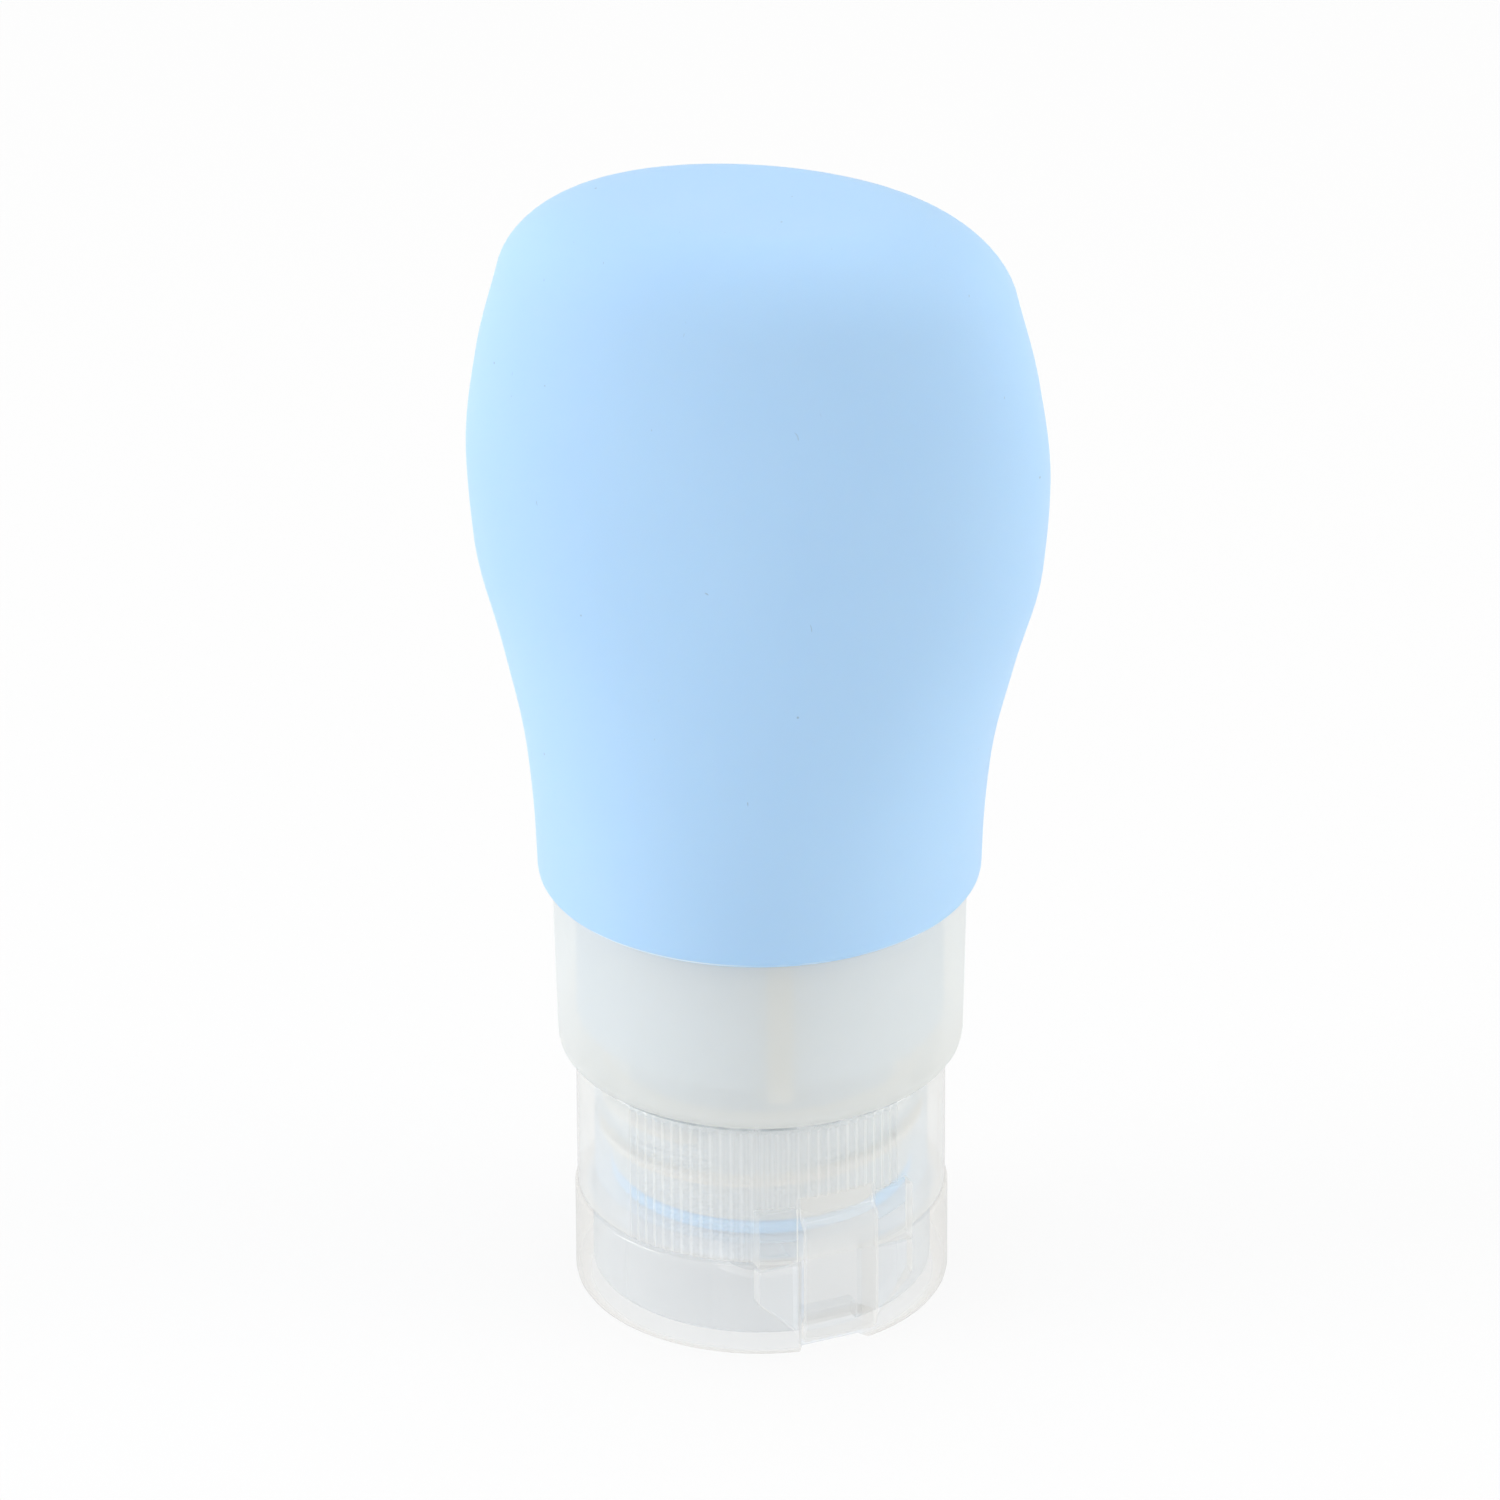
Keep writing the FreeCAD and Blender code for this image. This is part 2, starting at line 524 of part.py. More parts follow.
def body_loft(name, inset):
    """The body's outside, or its hollow where inset is the wall."""
    ovals = []
    flank_height = "(size.body_height - size.end_height)"
    for number, height_share in enumerate(FLANK_HEIGHT_SHARES):
        if number < len(BELLY_SHARES):
            half_width = blend(SHOULDER_RADIUS, "size.belly_half_width", BELLY_SHARES[number])
        else:
            brow_share = BROW_SHARES[number - len(BELLY_SHARES)]
            half_width = blend("size.belly_half_width", "size.brow_half_width", brow_share)
        half_depth = blend(SHOULDER_RADIUS, "size.brow_half_depth", DEPTH_SHARES[number])
        ovals.append(("(%s * %s)" % (flank_height, height_share), half_width, half_depth))
    for angle in END_ANGLES:
        rise_share = math.sin(math.radians(angle))
        draw_share = 1 - math.cos(math.radians(angle))
        width = blend("size.brow_half_width", "size.end_half_width", rise_share)
        depth = blend("size.brow_half_depth", "size.end_half_depth", rise_share)
        ovals.append((
            "(%s + size.end_height * %s)" % (flank_height, rise_share),
            "(%s - size.end_side_rounding * %s)" % (width, draw_share),
            "(%s - size.end_face_rounding * %s)" % (depth, draw_share),
        ))
    loft = doc.addObject("Part::Loft", name)
    loft.Sections = [body_section("%s_oval_%d" % (name, i), *oval, inset) for i, oval in enumerate(ovals)]
    loft.Solid = True
    loft.Ruled = False
    doc.recompute()
    return loft


def neck_stage(name, radius, base, top):
    """One round stage of the silicone's neck, or of the hollow in it."""
    stage = doc.addObject("Part::Cylinder", name)
    stage.setExpression("Radius", radius)
    stage.setExpression("Placement.Base.z", base)
    stage.setExpression("Height", "%s - %s" % (top, base))
    return stage


body_outside = body_loft("body_outside", "0")
body_rounded = doc.addObject("Part::Fillet", "body_rounded")
body_rounded.Base = body_outside
base_edges = []
for number, edge in enumerate(body_outside.Shape.Edges, start=1):
    if edge.isClosed() and math.isclose(edge.BoundBox.Center.z, value(BODY_BASE), abs_tol=1e-3):
        base_edges.append((number, value("size.shoulder_edge"), value("size.shoulder_edge")))
body_rounded.Edges = base_edges

COLLAR_SEAT = "(%s + size.collar_floor + size.seat_clearance)" % COLLAR_BASE
NECK_RADIUS = "(%s - size.seat_clearance)" % COLLAR_BORE
silicone = doc.addObject("Part::MultiFuse", "silicone")
silicone.Shapes = [
    body_rounded,
    neck_stage("neck", NECK_RADIUS, COLLAR_SEAT, "(%s + size.silicone_wall)" % BODY_BASE),
    neck_stage("tube_lining", LINING_RADIUS, LIP_BASE, "(%s + size.silicone_wall)" % COLLAR_SEAT),
    neck_stage("lip", "size.tube_radius", LIP_BASE, LIP_TOP),
]
hollow = doc.addObject("Part::MultiFuse", "hollow")
hollow.Shapes = [
    body_loft("body_hollow", "size.silicone_wall"),
    neck_stage("neck_hollow", "%s - size.silicone_wall" % NECK_RADIUS,
               "(%s + size.silicone_wall)" % COLLAR_SEAT,
               "(%s + size.silicone_wall + size.overrun)" % BODY_BASE),
    neck_stage("mouth", MOUTH_RADIUS, "(%s - size.overrun)" % LIP_BASE,
               "(%s + size.silicone_wall + size.overrun)" % COLLAR_SEAT),
]
# The groove in the neck that the collar's key stands in.
key_slot = doc.addObject("Part::Box", "key_slot")
key_slot.setExpression("Length", "size.key_depth + size.overrun")
key_slot.setExpression("Width", "size.key_width + 2 * size.seat_clearance")
key_slot.setExpression("Height", "%s - %s" % (BODY_BASE, COLLAR_SEAT))
slot_radius = "(%s - size.seat_clearance)" % key_face
half_slot = "(size.key_width / 2 + size.seat_clearance)"
turned_x = "%s * cos(size.key_turn) + %s * sin(size.key_turn)"
turned_y = "%s * sin(size.key_turn) - %s * cos(size.key_turn)"
key_slot.setExpression("Placement.Base.x", turned_x % (slot_radius, half_slot))
key_slot.setExpression("Placement.Base.y", turned_y % (slot_radius, half_slot))
key_slot.setExpression("Placement.Base.z", COLLAR_SEAT)
key_slot.setExpression("Placement.Rotation.Angle", "size.key_turn")
hollowed = doc.addObject("Part::Cut", "hollowed")
hollowed.Base = silicone
hollowed.Tool = hollow
squeeze_body = doc.addObject("Part::Cut", "squeeze_body")
squeeze_body.Label = "squeeze_body"
squeeze_body.Base = hollowed
squeeze_body.Tool = key_slot
doc.recompute()

# Check every object and write one file for each sub-part.
SUB_PARTS = (squeeze_body, collar, cap, lid, strap, valve, retainer)
for item in doc.Objects:
    if "Invalid" in item.State or "Error" in item.State:
        raise RuntimeError("%s failed: %s" % (item.Label, item.State))
os.makedirs("parts", exist_ok=True)
for item in SUB_PARTS:
    if item.Shape.isNull() or not item.Shape.isValid() or len(item.Shape.Solids) != 1:
        raise RuntimeError("%s has no single valid solid" % item.Label)
for item in SUB_PARTS:
    box = item.Shape.optimalBoundingBox()
    print("%s: %.1f mm3, z %.2f to %.2f" % (item.Label, item.Shape.Volume, box.ZMin, box.ZMax))
    item.Shape.exportStep(os.path.join("parts", item.Label + ".step"))
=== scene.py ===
import math

import bmesh
import bpy
from mathutils import Matrix, Quaternion, Vector


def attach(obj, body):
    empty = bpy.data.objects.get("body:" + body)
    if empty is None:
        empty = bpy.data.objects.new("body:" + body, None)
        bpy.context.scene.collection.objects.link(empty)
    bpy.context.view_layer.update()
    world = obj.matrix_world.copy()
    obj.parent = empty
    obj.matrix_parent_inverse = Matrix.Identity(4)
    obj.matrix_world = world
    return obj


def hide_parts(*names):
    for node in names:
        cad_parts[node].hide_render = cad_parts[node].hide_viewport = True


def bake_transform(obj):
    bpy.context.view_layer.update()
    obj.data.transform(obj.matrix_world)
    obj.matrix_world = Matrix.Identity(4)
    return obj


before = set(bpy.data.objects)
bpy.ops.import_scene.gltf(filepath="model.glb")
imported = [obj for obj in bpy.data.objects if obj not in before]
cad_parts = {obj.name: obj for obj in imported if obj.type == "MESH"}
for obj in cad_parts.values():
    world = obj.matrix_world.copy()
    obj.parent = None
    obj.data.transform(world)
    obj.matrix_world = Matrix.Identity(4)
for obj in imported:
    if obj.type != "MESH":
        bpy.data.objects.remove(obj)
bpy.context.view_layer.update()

# Silicone bottle
# A soft bottle moulded in one piece from pale blue silicone rubber, round at the neck and flattened to a
# blunt oval end. Its neck goes down through the collar, and its lip is turned out over the threaded tube.
MM = 0.001
BODY_BASE = 38.35
BODY_TURN = math.radians(-36.8)
WALL = 1.8
FLANK_HEIGHTS = (0.0, 5.12, 12.4, 21.02, 29.65, 38.27, 46.89, 53.9)
FLANK_HALF_WIDTHS = (18.6, 18.84, 19.62, 21.66, 23.97, 24.6, 23.61, 21.9)
FLANK_HALF_DEPTHS = (18.6, 18.34, 17.54, 16.36, 15.1, 13.98, 12.86, 12.0)
FLANK_STEPS = 40
END_HEIGHT = 7.7
END_HALF_WIDTH = 20.5
END_HALF_DEPTH = 11.3
END_SIDE_ROUNDING = 9.7
END_FACE_ROUNDING = 5.0
END_ARC_STEP = 6
END_FACE_RINGS = (0.7, 0.4, 0.1)
LEAST_HALF = 0.3
BODY_HEIGHT = FLANK_HEIGHTS[-1] + END_HEIGHT
BODY_STEPS = 128
NECK_RADIUS = 15.45
NECK_FLOOR = 25.25
LINING_RADIUS = 11.05
MOUTH_RADIUS = 9.35
LIP_RADIUS = 12.7
LIP_LOW = 10.05
LIP_TOP = 11.25
KEY_TURN = math.radians(-108)
KEY_HALF_WIDTH = 1.05
KEY_FACE = 14.7
KEY_PLAY = 0.05
CUT_PAST = 1.0
CUT_OUT = 2.0
NEAR = 0.02
HIGHLIGHT_RISE = 0.3
HIGHLIGHT_HALF = 0.12


def faired(stations, values, at):
    """A smooth curve through the stations of a flank, which doesn't swing past them."""
    runs = [b - a for a, b in zip(stations, stations[1:])]
    grades = [(b - a) / run for a, b, run in zip(values, values[1:], runs)]
    slopes = [grades[0]]
    for before, after in zip(grades, grades[1:]):
        slopes.append(2 * before * after / (before + after) if before * after > 0 else 0.0)
    slopes.append(grades[-1])
    span = max(i for i in range(len(runs)) if stations[i] <= at or i == 0)
    run = runs[span]
    share = (at - stations[span]) / run
    rest = 1 - share
    return (
        values[span] * rest * rest * (1 + 2 * share)
        + values[span + 1] * share * share * (1 + 2 * rest)
        + run * share * rest * (slopes[span] * rest - slopes[span + 1] * share)
    )


def flank_ovals(inset):
    """The body's ovals (half width, half depth, height) up to its closed end, drawn in by an inset."""
    squeeze = 1 - 2 * inset / BODY_HEIGHT
    ovals = []
    for step in range(FLANK_STEPS + 1):
        rise = FLANK_HEIGHTS[-1] * step / FLANK_STEPS
        wide = faired(FLANK_HEIGHTS, FLANK_HALF_WIDTHS, rise)
        deep = faired(FLANK_HEIGHTS, FLANK_HALF_DEPTHS, rise)
        ovals.append((wide, deep, rise))
    for degrees in range(END_ARC_STEP, 91, END_ARC_STEP):
        up = math.sin(math.radians(degrees))
        drawn_in = 1 - math.cos(math.radians(degrees))
        wide = FLANK_HALF_WIDTHS[-1] + (END_HALF_WIDTH - FLANK_HALF_WIDTHS[-1]) * up
        deep = FLANK_HALF_DEPTHS[-1] + (END_HALF_DEPTH - FLANK_HALF_DEPTHS[-1]) * up
        wide -= END_SIDE_ROUNDING * drawn_in
        deep -= END_FACE_ROUNDING * drawn_in
        ovals.append((wide, deep, FLANK_HEIGHTS[-1] + END_HEIGHT * up))
    wide, deep, rise = ovals[-1]
    for share in END_FACE_RINGS:
        ovals.append((wide * share, deep * share, rise))
    return [
        (max(wide - inset, LEAST_HALF), max(deep - inset, LEAST_HALF), BODY_BASE + inset + rise * squeeze)
        for wide, deep, rise in ovals
    ]


def carried_ring(mesh, ovals, segments):
    """Carry a ring of edges through a chain of ovals, and close both ends."""
    wide, deep, height = ovals[0]
    ring = bmesh.ops.create_circle(mesh, segments=segments, radius=1.0)["verts"]
    bmesh.ops.scale(mesh, vec=(wide, deep, 1), verts=ring)
    bmesh.ops.translate(mesh, vec=(0, 0, height), verts=ring)
    edges = mesh.edges[:]
    bmesh.ops.contextual_create(mesh, geom=edges)
    for next_wide, next_deep, next_height in ovals[1:]:
        grown = bmesh.ops.extrude_edge_only(mesh, edges=edges)["geom"]
        ring = [item for item in grown if isinstance(item, bmesh.types.BMVert)]
        edges = [item for item in grown if isinstance(item, bmesh.types.BMEdge)]
        bmesh.ops.scale(mesh, vec=(next_wide / wide, next_deep / deep, 1), verts=ring)
        bmesh.ops.translate(mesh, vec=(0, 0, next_height - height), verts=ring)
        wide, deep, height = next_wide, next_deep, next_height
    bmesh.ops.contextual_create(mesh, geom=edges)
    bmesh.ops.recalc_face_normals(mesh, faces=mesh.faces)


def round_loop(mesh, radius, height, rounding):
    """Round the circular edge that lies at a radius and height."""
    def lies_there(vert):
        return abs(vert.co.z - height) < NEAR and abs(vert.co.xy.length - radius) < NEAR
    loop = [edge for edge in mesh.edges if all(lies_there(vert) for vert in edge.verts)]
    bmesh.ops.bevel(mesh, geom=loop, offset=rounding, offset_type="OFFSET", affect="EDGES", segments=4,
                    profile=0.5, material=-1)


def blank(name, mesh):
    """An object in mm from a mesh that is still being worked on."""
    data = bpy.data.meshes.new(name)
    mesh.to_mesh(data)
    mesh.free()
    piece = bpy.data.objects.new(name, data)
    bpy.context.scene.collection.objects.link(piece)
    return piece


def slab(outline, thickness, rounding=0.0):
    """A plate of an outline's shape, as an object in mm, to join to a moulding or cut from it."""
    mesh = bmesh.new()
    face = mesh.faces.new([mesh.verts.new(point) for point in outline])
    grown = bmesh.ops.extrude_face_region(mesh, geom=[face])["geom"]
    top = [item for item in grown if isinstance(item, bmesh.types.BMVert)]
    bmesh.ops.translate(mesh, vec=thickness, verts=top)
    bmesh.ops.holes_fill(mesh, edges=[edge for edge in mesh.edges if edge.is_boundary])
    bmesh.ops.recalc_face_normals(mesh, faces=mesh.faces)
    if rounding:
        bmesh.ops.bevel(mesh, geom=mesh.edges[:], offset=rounding, offset_type="OFFSET", affect="EDGES",
                        segments=3, profile=0.5, material=-1, clamp_overlap=True)
    return blank("slab", mesh)


def brick(corner, opposite, rounding=0.0):
    """A slab with square corners, between a low corner and the high one opposite."""
    left, near, low = corner
    right, far, high = opposite
    outline = [(left, near, low), (right, near, low), (right, far, low), (left, far, low)]
    return slab(outline, (0, 0, high - low), rounding)


def carve(piece, tool, operation):
    """Join a tool to a blank, or cut it out, close any gap left, and use the tool up."""
    modifier = piece.modifiers.new("carve", "BOOLEAN")
    modifier.operation = operation
    modifier.solver = "EXACT"
    modifier.object = tool
    graph = bpy.context.evaluated_depsgraph_get()
    carved = bpy.data.meshes.new_from_object(piece.evaluated_get(graph))
    piece.modifiers.clear()
    mesh = bmesh.new()
    mesh.from_mesh(carved)
    bmesh.ops.holes_fill(mesh, edges=[edge for edge in mesh.edges if edge.is_boundary])
    mesh.to_mesh(carved)
    mesh.free()
    old = piece.data
    piece.data = carved
    bpy.data.meshes.remove(old)
    bpy.data.objects.remove(tool)


def finish_moulding(piece, material, crease):
    """Bring a blank from mm to metres, shade it smooth up to a crease angle, and give it its material."""
    piece.data.transform(Matrix.Scale(MM, 4))
    piece.data.materials.clear()
    piece.data.materials.append(material)
    for face in piece.data.polygons:
        face.use_smooth = True
        face.material_index = 0
    piece.data.set_sharp_from_angle(angle=math.radians(crease))
    weighted = piece.modifiers.new("even_shading", "WEIGHTED_NORMAL")
    weighted.keep_sharp = True
    weighted.weight = 80


def linear(hex_colour):
    """Linear colour of an sRGB hex value, with full alpha."""
    parts = [int(hex_colour[i:i + 2], 16) / 255 for i in (0, 2, 4)]
    return (*[p / 12.92 if p <= 0.04045 else ((p + 0.055) / 1.055) ** 2.4 for p in parts], 1.0)


def add_node(tree, kind, sockets=None, links=None, **settings):
    """Add a node with its settings, socket values and links from other nodes' outputs."""
    node = tree.nodes.new(kind)
    for name, value in settings.items():
        setattr(node, name, value)
    for name, value in (sockets or {}).items():
        node.inputs[name].default_value = value
    for name, output in (links or {}).items():
        tree.links.new(output, node.inputs[name])
    return node


outside = flank_ovals(0.0)
inside = flank_ovals(WALL)
neck_ovals = [(radius, radius, height) for radius, height in (
    (NECK_RADIUS - WALL, BODY_BASE + WALL),
    (NECK_RADIUS - WALL, NECK_FLOOR + WALL),
    (MOUTH_RADIUS, NECK_FLOOR + WALL),
    (MOUTH_RADIUS, LIP_LOW),
    (LIP_RADIUS, LIP_LOW),
    (LIP_RADIUS, LIP_TOP),
    (LINING_RADIUS, LIP_TOP),
    (LINING_RADIUS, NECK_FLOOR),
    (NECK_RADIUS, NECK_FLOOR),
    (NECK_RADIUS, BODY_BASE),
)]
mesh = bmesh.new()
carried_ring(mesh, inside[::-1] + neck_ovals + outside, BODY_STEPS)
for radius, height, rounding in (
    (FLANK_HALF_WIDTHS[0], BODY_BASE, 0.9),
    (LIP_RADIUS, LIP_LOW, 0.35),
    (LIP_RADIUS, LIP_TOP, 0.3),
    (MOUTH_RADIUS, LIP_LOW, 0.4),
    (NECK_RADIUS, NECK_FLOOR, 0.4),
):
    round_loop(mesh, radius, height, rounding)
bmesh.ops.rotate(mesh, cent=(0, 0, 0), matrix=Matrix.Rotation(BODY_TURN, 3, "Z"), verts=mesh.verts)
bottle = blank("silicone_bottle", mesh)
groove = brick((KEY_FACE - KEY_PLAY, -KEY_HALF_WIDTH - KEY_PLAY, NECK_FLOOR - CUT_PAST),
               (KEY_FACE + CUT_OUT, KEY_HALF_WIDTH + KEY_PLAY, BODY_BASE))
groove.data.transform(Matrix.Rotation(KEY_TURN, 4, "Z"))
carve(bottle, groove, "DIFFERENCE")

# Moulded silicone: satin, slightly powdery, and lit a little from within at thin edges. Specks of dust and
# short bits of lint cling to it, and a painted highlight runs in a broken pale line round its foot, where
# the rounded edge catches the light. The grain of the skin is finer on the real one, and is drawn coarse
# enough to show.
silicone = bpy.data.materials.new("moulded_silicone")
silicone.use_nodes = True
tree = silicone.node_tree
shader = tree.nodes["Principled BSDF"]
place = add_node(tree, "ShaderNodeTexCoord").outputs["Object"]
clouds = add_node(tree, "ShaderNodeTexNoise", {"Scale": 1 / (14 * MM), "Detail": 3.0}, {"Vector": place})
tone = add_node(tree, "ShaderNodeMix", {6: linear("B2D7FC"), 7: linear("B7DBFE")},
                {0: clouds.outputs["Fac"]}, data_type="RGBA")
specks = add_node(tree, "ShaderNodeTexVoronoi", {"Scale": 1 / (4 * MM)}, {"Vector": place})
dust = add_node(tree, "ShaderNodeMapRange", {"From Min": 0.034, "From Max": 0.015, "To Max": 0.7},
                {"Value": specks.outputs["Distance"]})
drift = add_node(tree, "ShaderNodeTexNoise", {"Scale": 1 / (5 * MM)}, {"Vector": place})
bent = add_node(tree, "ShaderNodeVectorMath", {1: (4 * MM, 4 * MM, 4 * MM)},
                {0: drift.outputs["Color"], 2: place}, operation="MULTIPLY_ADD")
lying = add_node(tree, "ShaderNodeMapping", {"Rotation": (0.6, 0.4, 0.0), "Scale": (1.0, 1.0, 0.12)},
                 {"Vector": bent.outputs[0]})
fibres = add_node(tree, "ShaderNodeTexVoronoi", {"Scale": 1 / (1.2 * MM)}, {"Vector": lying.outputs[0]})
strands = add_node(tree, "ShaderNodeMapRange", {"From Min": 0.055, "From Max": 0.03, "To Max": 0.5},
                   {"Value": fibres.outputs["Distance"]})
few = add_node(tree, "ShaderNodeMath", {1: 0.6}, {0: fibres.outputs["Color"]}, operation="GREATER_THAN")
lint = add_node(tree, "ShaderNodeMath", {}, {0: strands.outputs[0], 1: few.outputs[0]},
                operation="MULTIPLY")
height = add_node(tree, "ShaderNodeSeparateXYZ", {}, {0: place}).outputs["Z"]
# Painted highlight: a thin pale line round the bottle's foot, where its rounded edge catches the light,
# broken in places by noise.
edge = add_node(tree, "ShaderNodeMath", {1: (BODY_BASE + HIGHLIGHT_RISE) * MM, 2: HIGHLIGHT_HALF * MM},
                {0: height}, operation="COMPARE")
breaks = add_node(tree, "ShaderNodeTexNoise", {"Scale": 1 / (7 * MM)}, {"Vector": place})
patchy = add_node(tree, "ShaderNodeMapRange", {"From Min": 0.38, "From Max": 0.55, "To Max": 0.65},
                  {"Value": breaks.outputs["Fac"]})
foot_highlight = add_node(tree, "ShaderNodeMath", {}, {0: edge.outputs[0], 1: patchy.outputs[0]},
                operation="MULTIPLY")
# Real dust and lint, then the painted highlight round the foot.
for share, colour in ((dust, "8FA6BC"), (lint, "8FA6BC"), (foot_highlight, "F4FAFF")):
    tone = add_node(tree, "ShaderNodeMix", {7: linear(colour)}, {0: share.outputs[0], 6: tone.outputs[2]},
                    data_type="RGBA")
tree.links.new(tone.outputs[2], shader.inputs["Base Color"])
shader.inputs["Roughness"].default_value = 0.62
shader.inputs["IOR"].default_value = 1.41
shader.inputs["Specular IOR Level"].default_value = 0.2
shader.inputs["Subsurface Weight"].default_value = 0.25
shader.inputs["Subsurface Radius"].default_value = (0.5, 0.8, 1.0)
shader.inputs["Subsurface Scale"].default_value = 1.5 * MM
shader.inputs["Sheen Weight"].default_value = 0.06
shader.inputs["Sheen Roughness"].default_value = 0.5
grain = add_node(tree, "ShaderNodeTexNoise", {"Scale": 1 / (0.25 * MM), "Detail": 2.0}, {"Vector": place})
bump = add_node(tree, "ShaderNodeBump", {"Strength": 0.08, "Distance": 0.02 * MM},
                {"Height": grain.outputs["Fac"]})
tree.links.new(bump.outputs["Normal"], shader.inputs["Normal"])
finish_moulding(bottle, silicone, 50)
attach(bottle, "bottle")
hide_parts("squeeze_body")

# Threaded collar
# A rigid cup moulded from natural polypropylene, which the silicone neck sits in. A threaded tube goes
# down from its floor, and a key inside its wall stops the silicone from turning.
COLLAR_BASE = 22.0
COLLAR_TOP = 38.3
COLLAR_LOW_RADIUS = 17.05
COLLAR_HIGH_RADIUS = 17.45
COLLAR_BORE = 15.5
COLLAR_FLOOR_TOP = 25.2
COLLAR_STEPS = 144
KEY_ROOT = 0.4
KEY_SINK = 1.0
KEY_DROP = 0.4
KEY_ROUNDING = 0.25
TUBE_RADIUS = 12.7
TUBE_BORE = 11.1
TUBE_MOUTH = 11.3
THREAD_PITCH = 3.5
THREAD_DEPTH = 1.0
THREAD_SINK = 0.25
THREAD_HALF_FOOT = 0.75
THREAD_HALF_CREST = 0.35
THREAD_FADE = math.radians(16)
THREAD_STEPS = 90
NECK_RIDGE = 13.2
NECK_RISE = 5.6
RIDGE_MIDDLE = 13.5
RIDGE_HALF = 0.4
POLYPROPYLENE_IOR = 1.49
CIRCLE = 2 * math.pi
WELD = 0.002


def turned(mesh, corners, arcs):
    """Spin corners (radius, height, rounding) about the bottle's axis, through arcs (angle, steps)."""
    verts = [mesh.verts.new((radius, 0, height)) for radius, height, rounding in corners]
    mesh.faces.new(verts)
    for vert, (radius, height, rounding) in zip(verts, corners):
        if rounding:
            bmesh.ops.bevel(mesh, geom=[vert], offset=rounding, offset_type="OFFSET", affect="VERTICES",
                            segments=4, profile=0.5, material=-1)
    bmesh.ops.delete(mesh, geom=mesh.faces[:], context="FACES_ONLY")
    on_axis = [edge for edge in mesh.edges if max(abs(vert.co.x) for vert in edge.verts) < WELD]
    bmesh.ops.delete(mesh, geom=on_axis, context="EDGES")
    section = mesh.verts[:] + mesh.edges[:]
    for angle, steps in arcs:
        section = bmesh.ops.spin(mesh, geom=section, cent=(0, 0, 0), axis=(0, 0, 1), dvec=(0, 0, 0),
                                 angle=angle, steps=steps, use_merge=len(arcs) == 1)["geom_last"]
    bmesh.ops.remove_doubles(mesh, verts=mesh.verts, dist=WELD)
    bmesh.ops.recalc_face_normals(mesh, faces=mesh.faces)


def thread_ridge(wall, start, rise, outward):
    """One ridge of the screw thread on a wall's radius, from a start height, fading out at both ends."""
    mesh = bmesh.new()
    root = wall - outward * THREAD_SINK
    crest = wall + outward * THREAD_DEPTH
    verts = [mesh.verts.new((radius, 0, start + up)) for radius, up in (
        (root, -THREAD_HALF_FOOT),
        (crest, -THREAD_HALF_CREST),
        (crest, THREAD_HALF_CREST),
        (root, THREAD_HALF_FOOT),
    )]
    edges = [mesh.edges.new((verts[i - 1], verts[i])) for i in range(4)]
    turns = rise / THREAD_PITCH
    steps = round(turns * THREAD_STEPS)
    first = verts + edges
    last = bmesh.ops.spin(mesh, geom=first, cent=(0, 0, 0), axis=(0, 0, 1), dvec=(0, 0, rise / steps),
                          angle=turns * CIRCLE, steps=steps)["geom_last"]
    for section, way in ((first, -1), (last, 1)):
        climb = way * THREAD_PITCH * THREAD_FADE / CIRCLE
        tip = bmesh.ops.spin(mesh, geom=section, cent=(0, 0, 0), axis=(0, 0, 1), dvec=(0, 0, climb),
                             angle=way * THREAD_FADE, steps=1)["geom_last"]
        for vert in tip:
            if isinstance(vert, bmesh.types.BMVert):
                vert.co.xy *= root / vert.co.xy.length
    bmesh.ops.holes_fill(mesh, edges=[edge for edge in mesh.edges if edge.is_boundary])
    bmesh.ops.recalc_face_normals(mesh, faces=mesh.faces)
    if mesh.calc_volume(signed=True) < 0:
        bmesh.ops.reverse_faces(mesh, faces=mesh.faces)
    return blank("thread_ridge", mesh)


def from_axis(tree, place):
    """How far a place on a piece is from the bottle's axis."""
    across = add_node(tree, "ShaderNodeVectorMath", {1: (1, 1, 0)}, {0: place}, operation="MULTIPLY")
    reach = add_node(tree, "ShaderNodeVectorMath", {}, {0: across.outputs[0]}, operation="LENGTH")
    return reach.outputs["Value"]


def let_light_in(tree, wall, share):
    """Let a share of the light that falls on a see-through wall go straight on to what is behind it."""
    rays = add_node(tree, "ShaderNodeLightPath").outputs
    light = add_node(tree, "ShaderNodeMath", {}, {0: rays["Is Shadow Ray"], 1: rays["Is Diffuse Ray"]},
                     operation="MAXIMUM")
    through = add_node(tree, "ShaderNodeMath", {1: share}, {0: light.outputs[0]}, operation="MULTIPLY")
    open_air = add_node(tree, "ShaderNodeBsdfTransparent")
    lit = add_node(tree, "ShaderNodeMixShader", {},
                   {0: through.outputs[0], 1: wall.outputs[0], 2: open_air.outputs[0]})
    tree.links.new(lit.outputs[0], tree.nodes["Material Output"].inputs["Surface"])


mesh = bmesh.new()
turned(mesh, [
    (TUBE_BORE, TUBE_MOUTH, 0.3),
    (TUBE_RADIUS, TUBE_MOUTH, 0.3),
    (TUBE_RADIUS, COLLAR_BASE, 0.3),
    (COLLAR_LOW_RADIUS, COLLAR_BASE, 1.5),
    (COLLAR_HIGH_RADIUS, COLLAR_TOP, 0.35),
    (COLLAR_BORE, COLLAR_TOP, 0.35),
    (COLLAR_BORE, COLLAR_FLOOR_TOP, 0.4),
    (TUBE_BORE, COLLAR_FLOOR_TOP, 0.4),
], [(CIRCLE, COLLAR_STEPS)])
collar = blank("collar_moulding", mesh)
carve(collar, thread_ridge(TUBE_RADIUS, NECK_RIDGE, NECK_RISE, 1), "UNION")
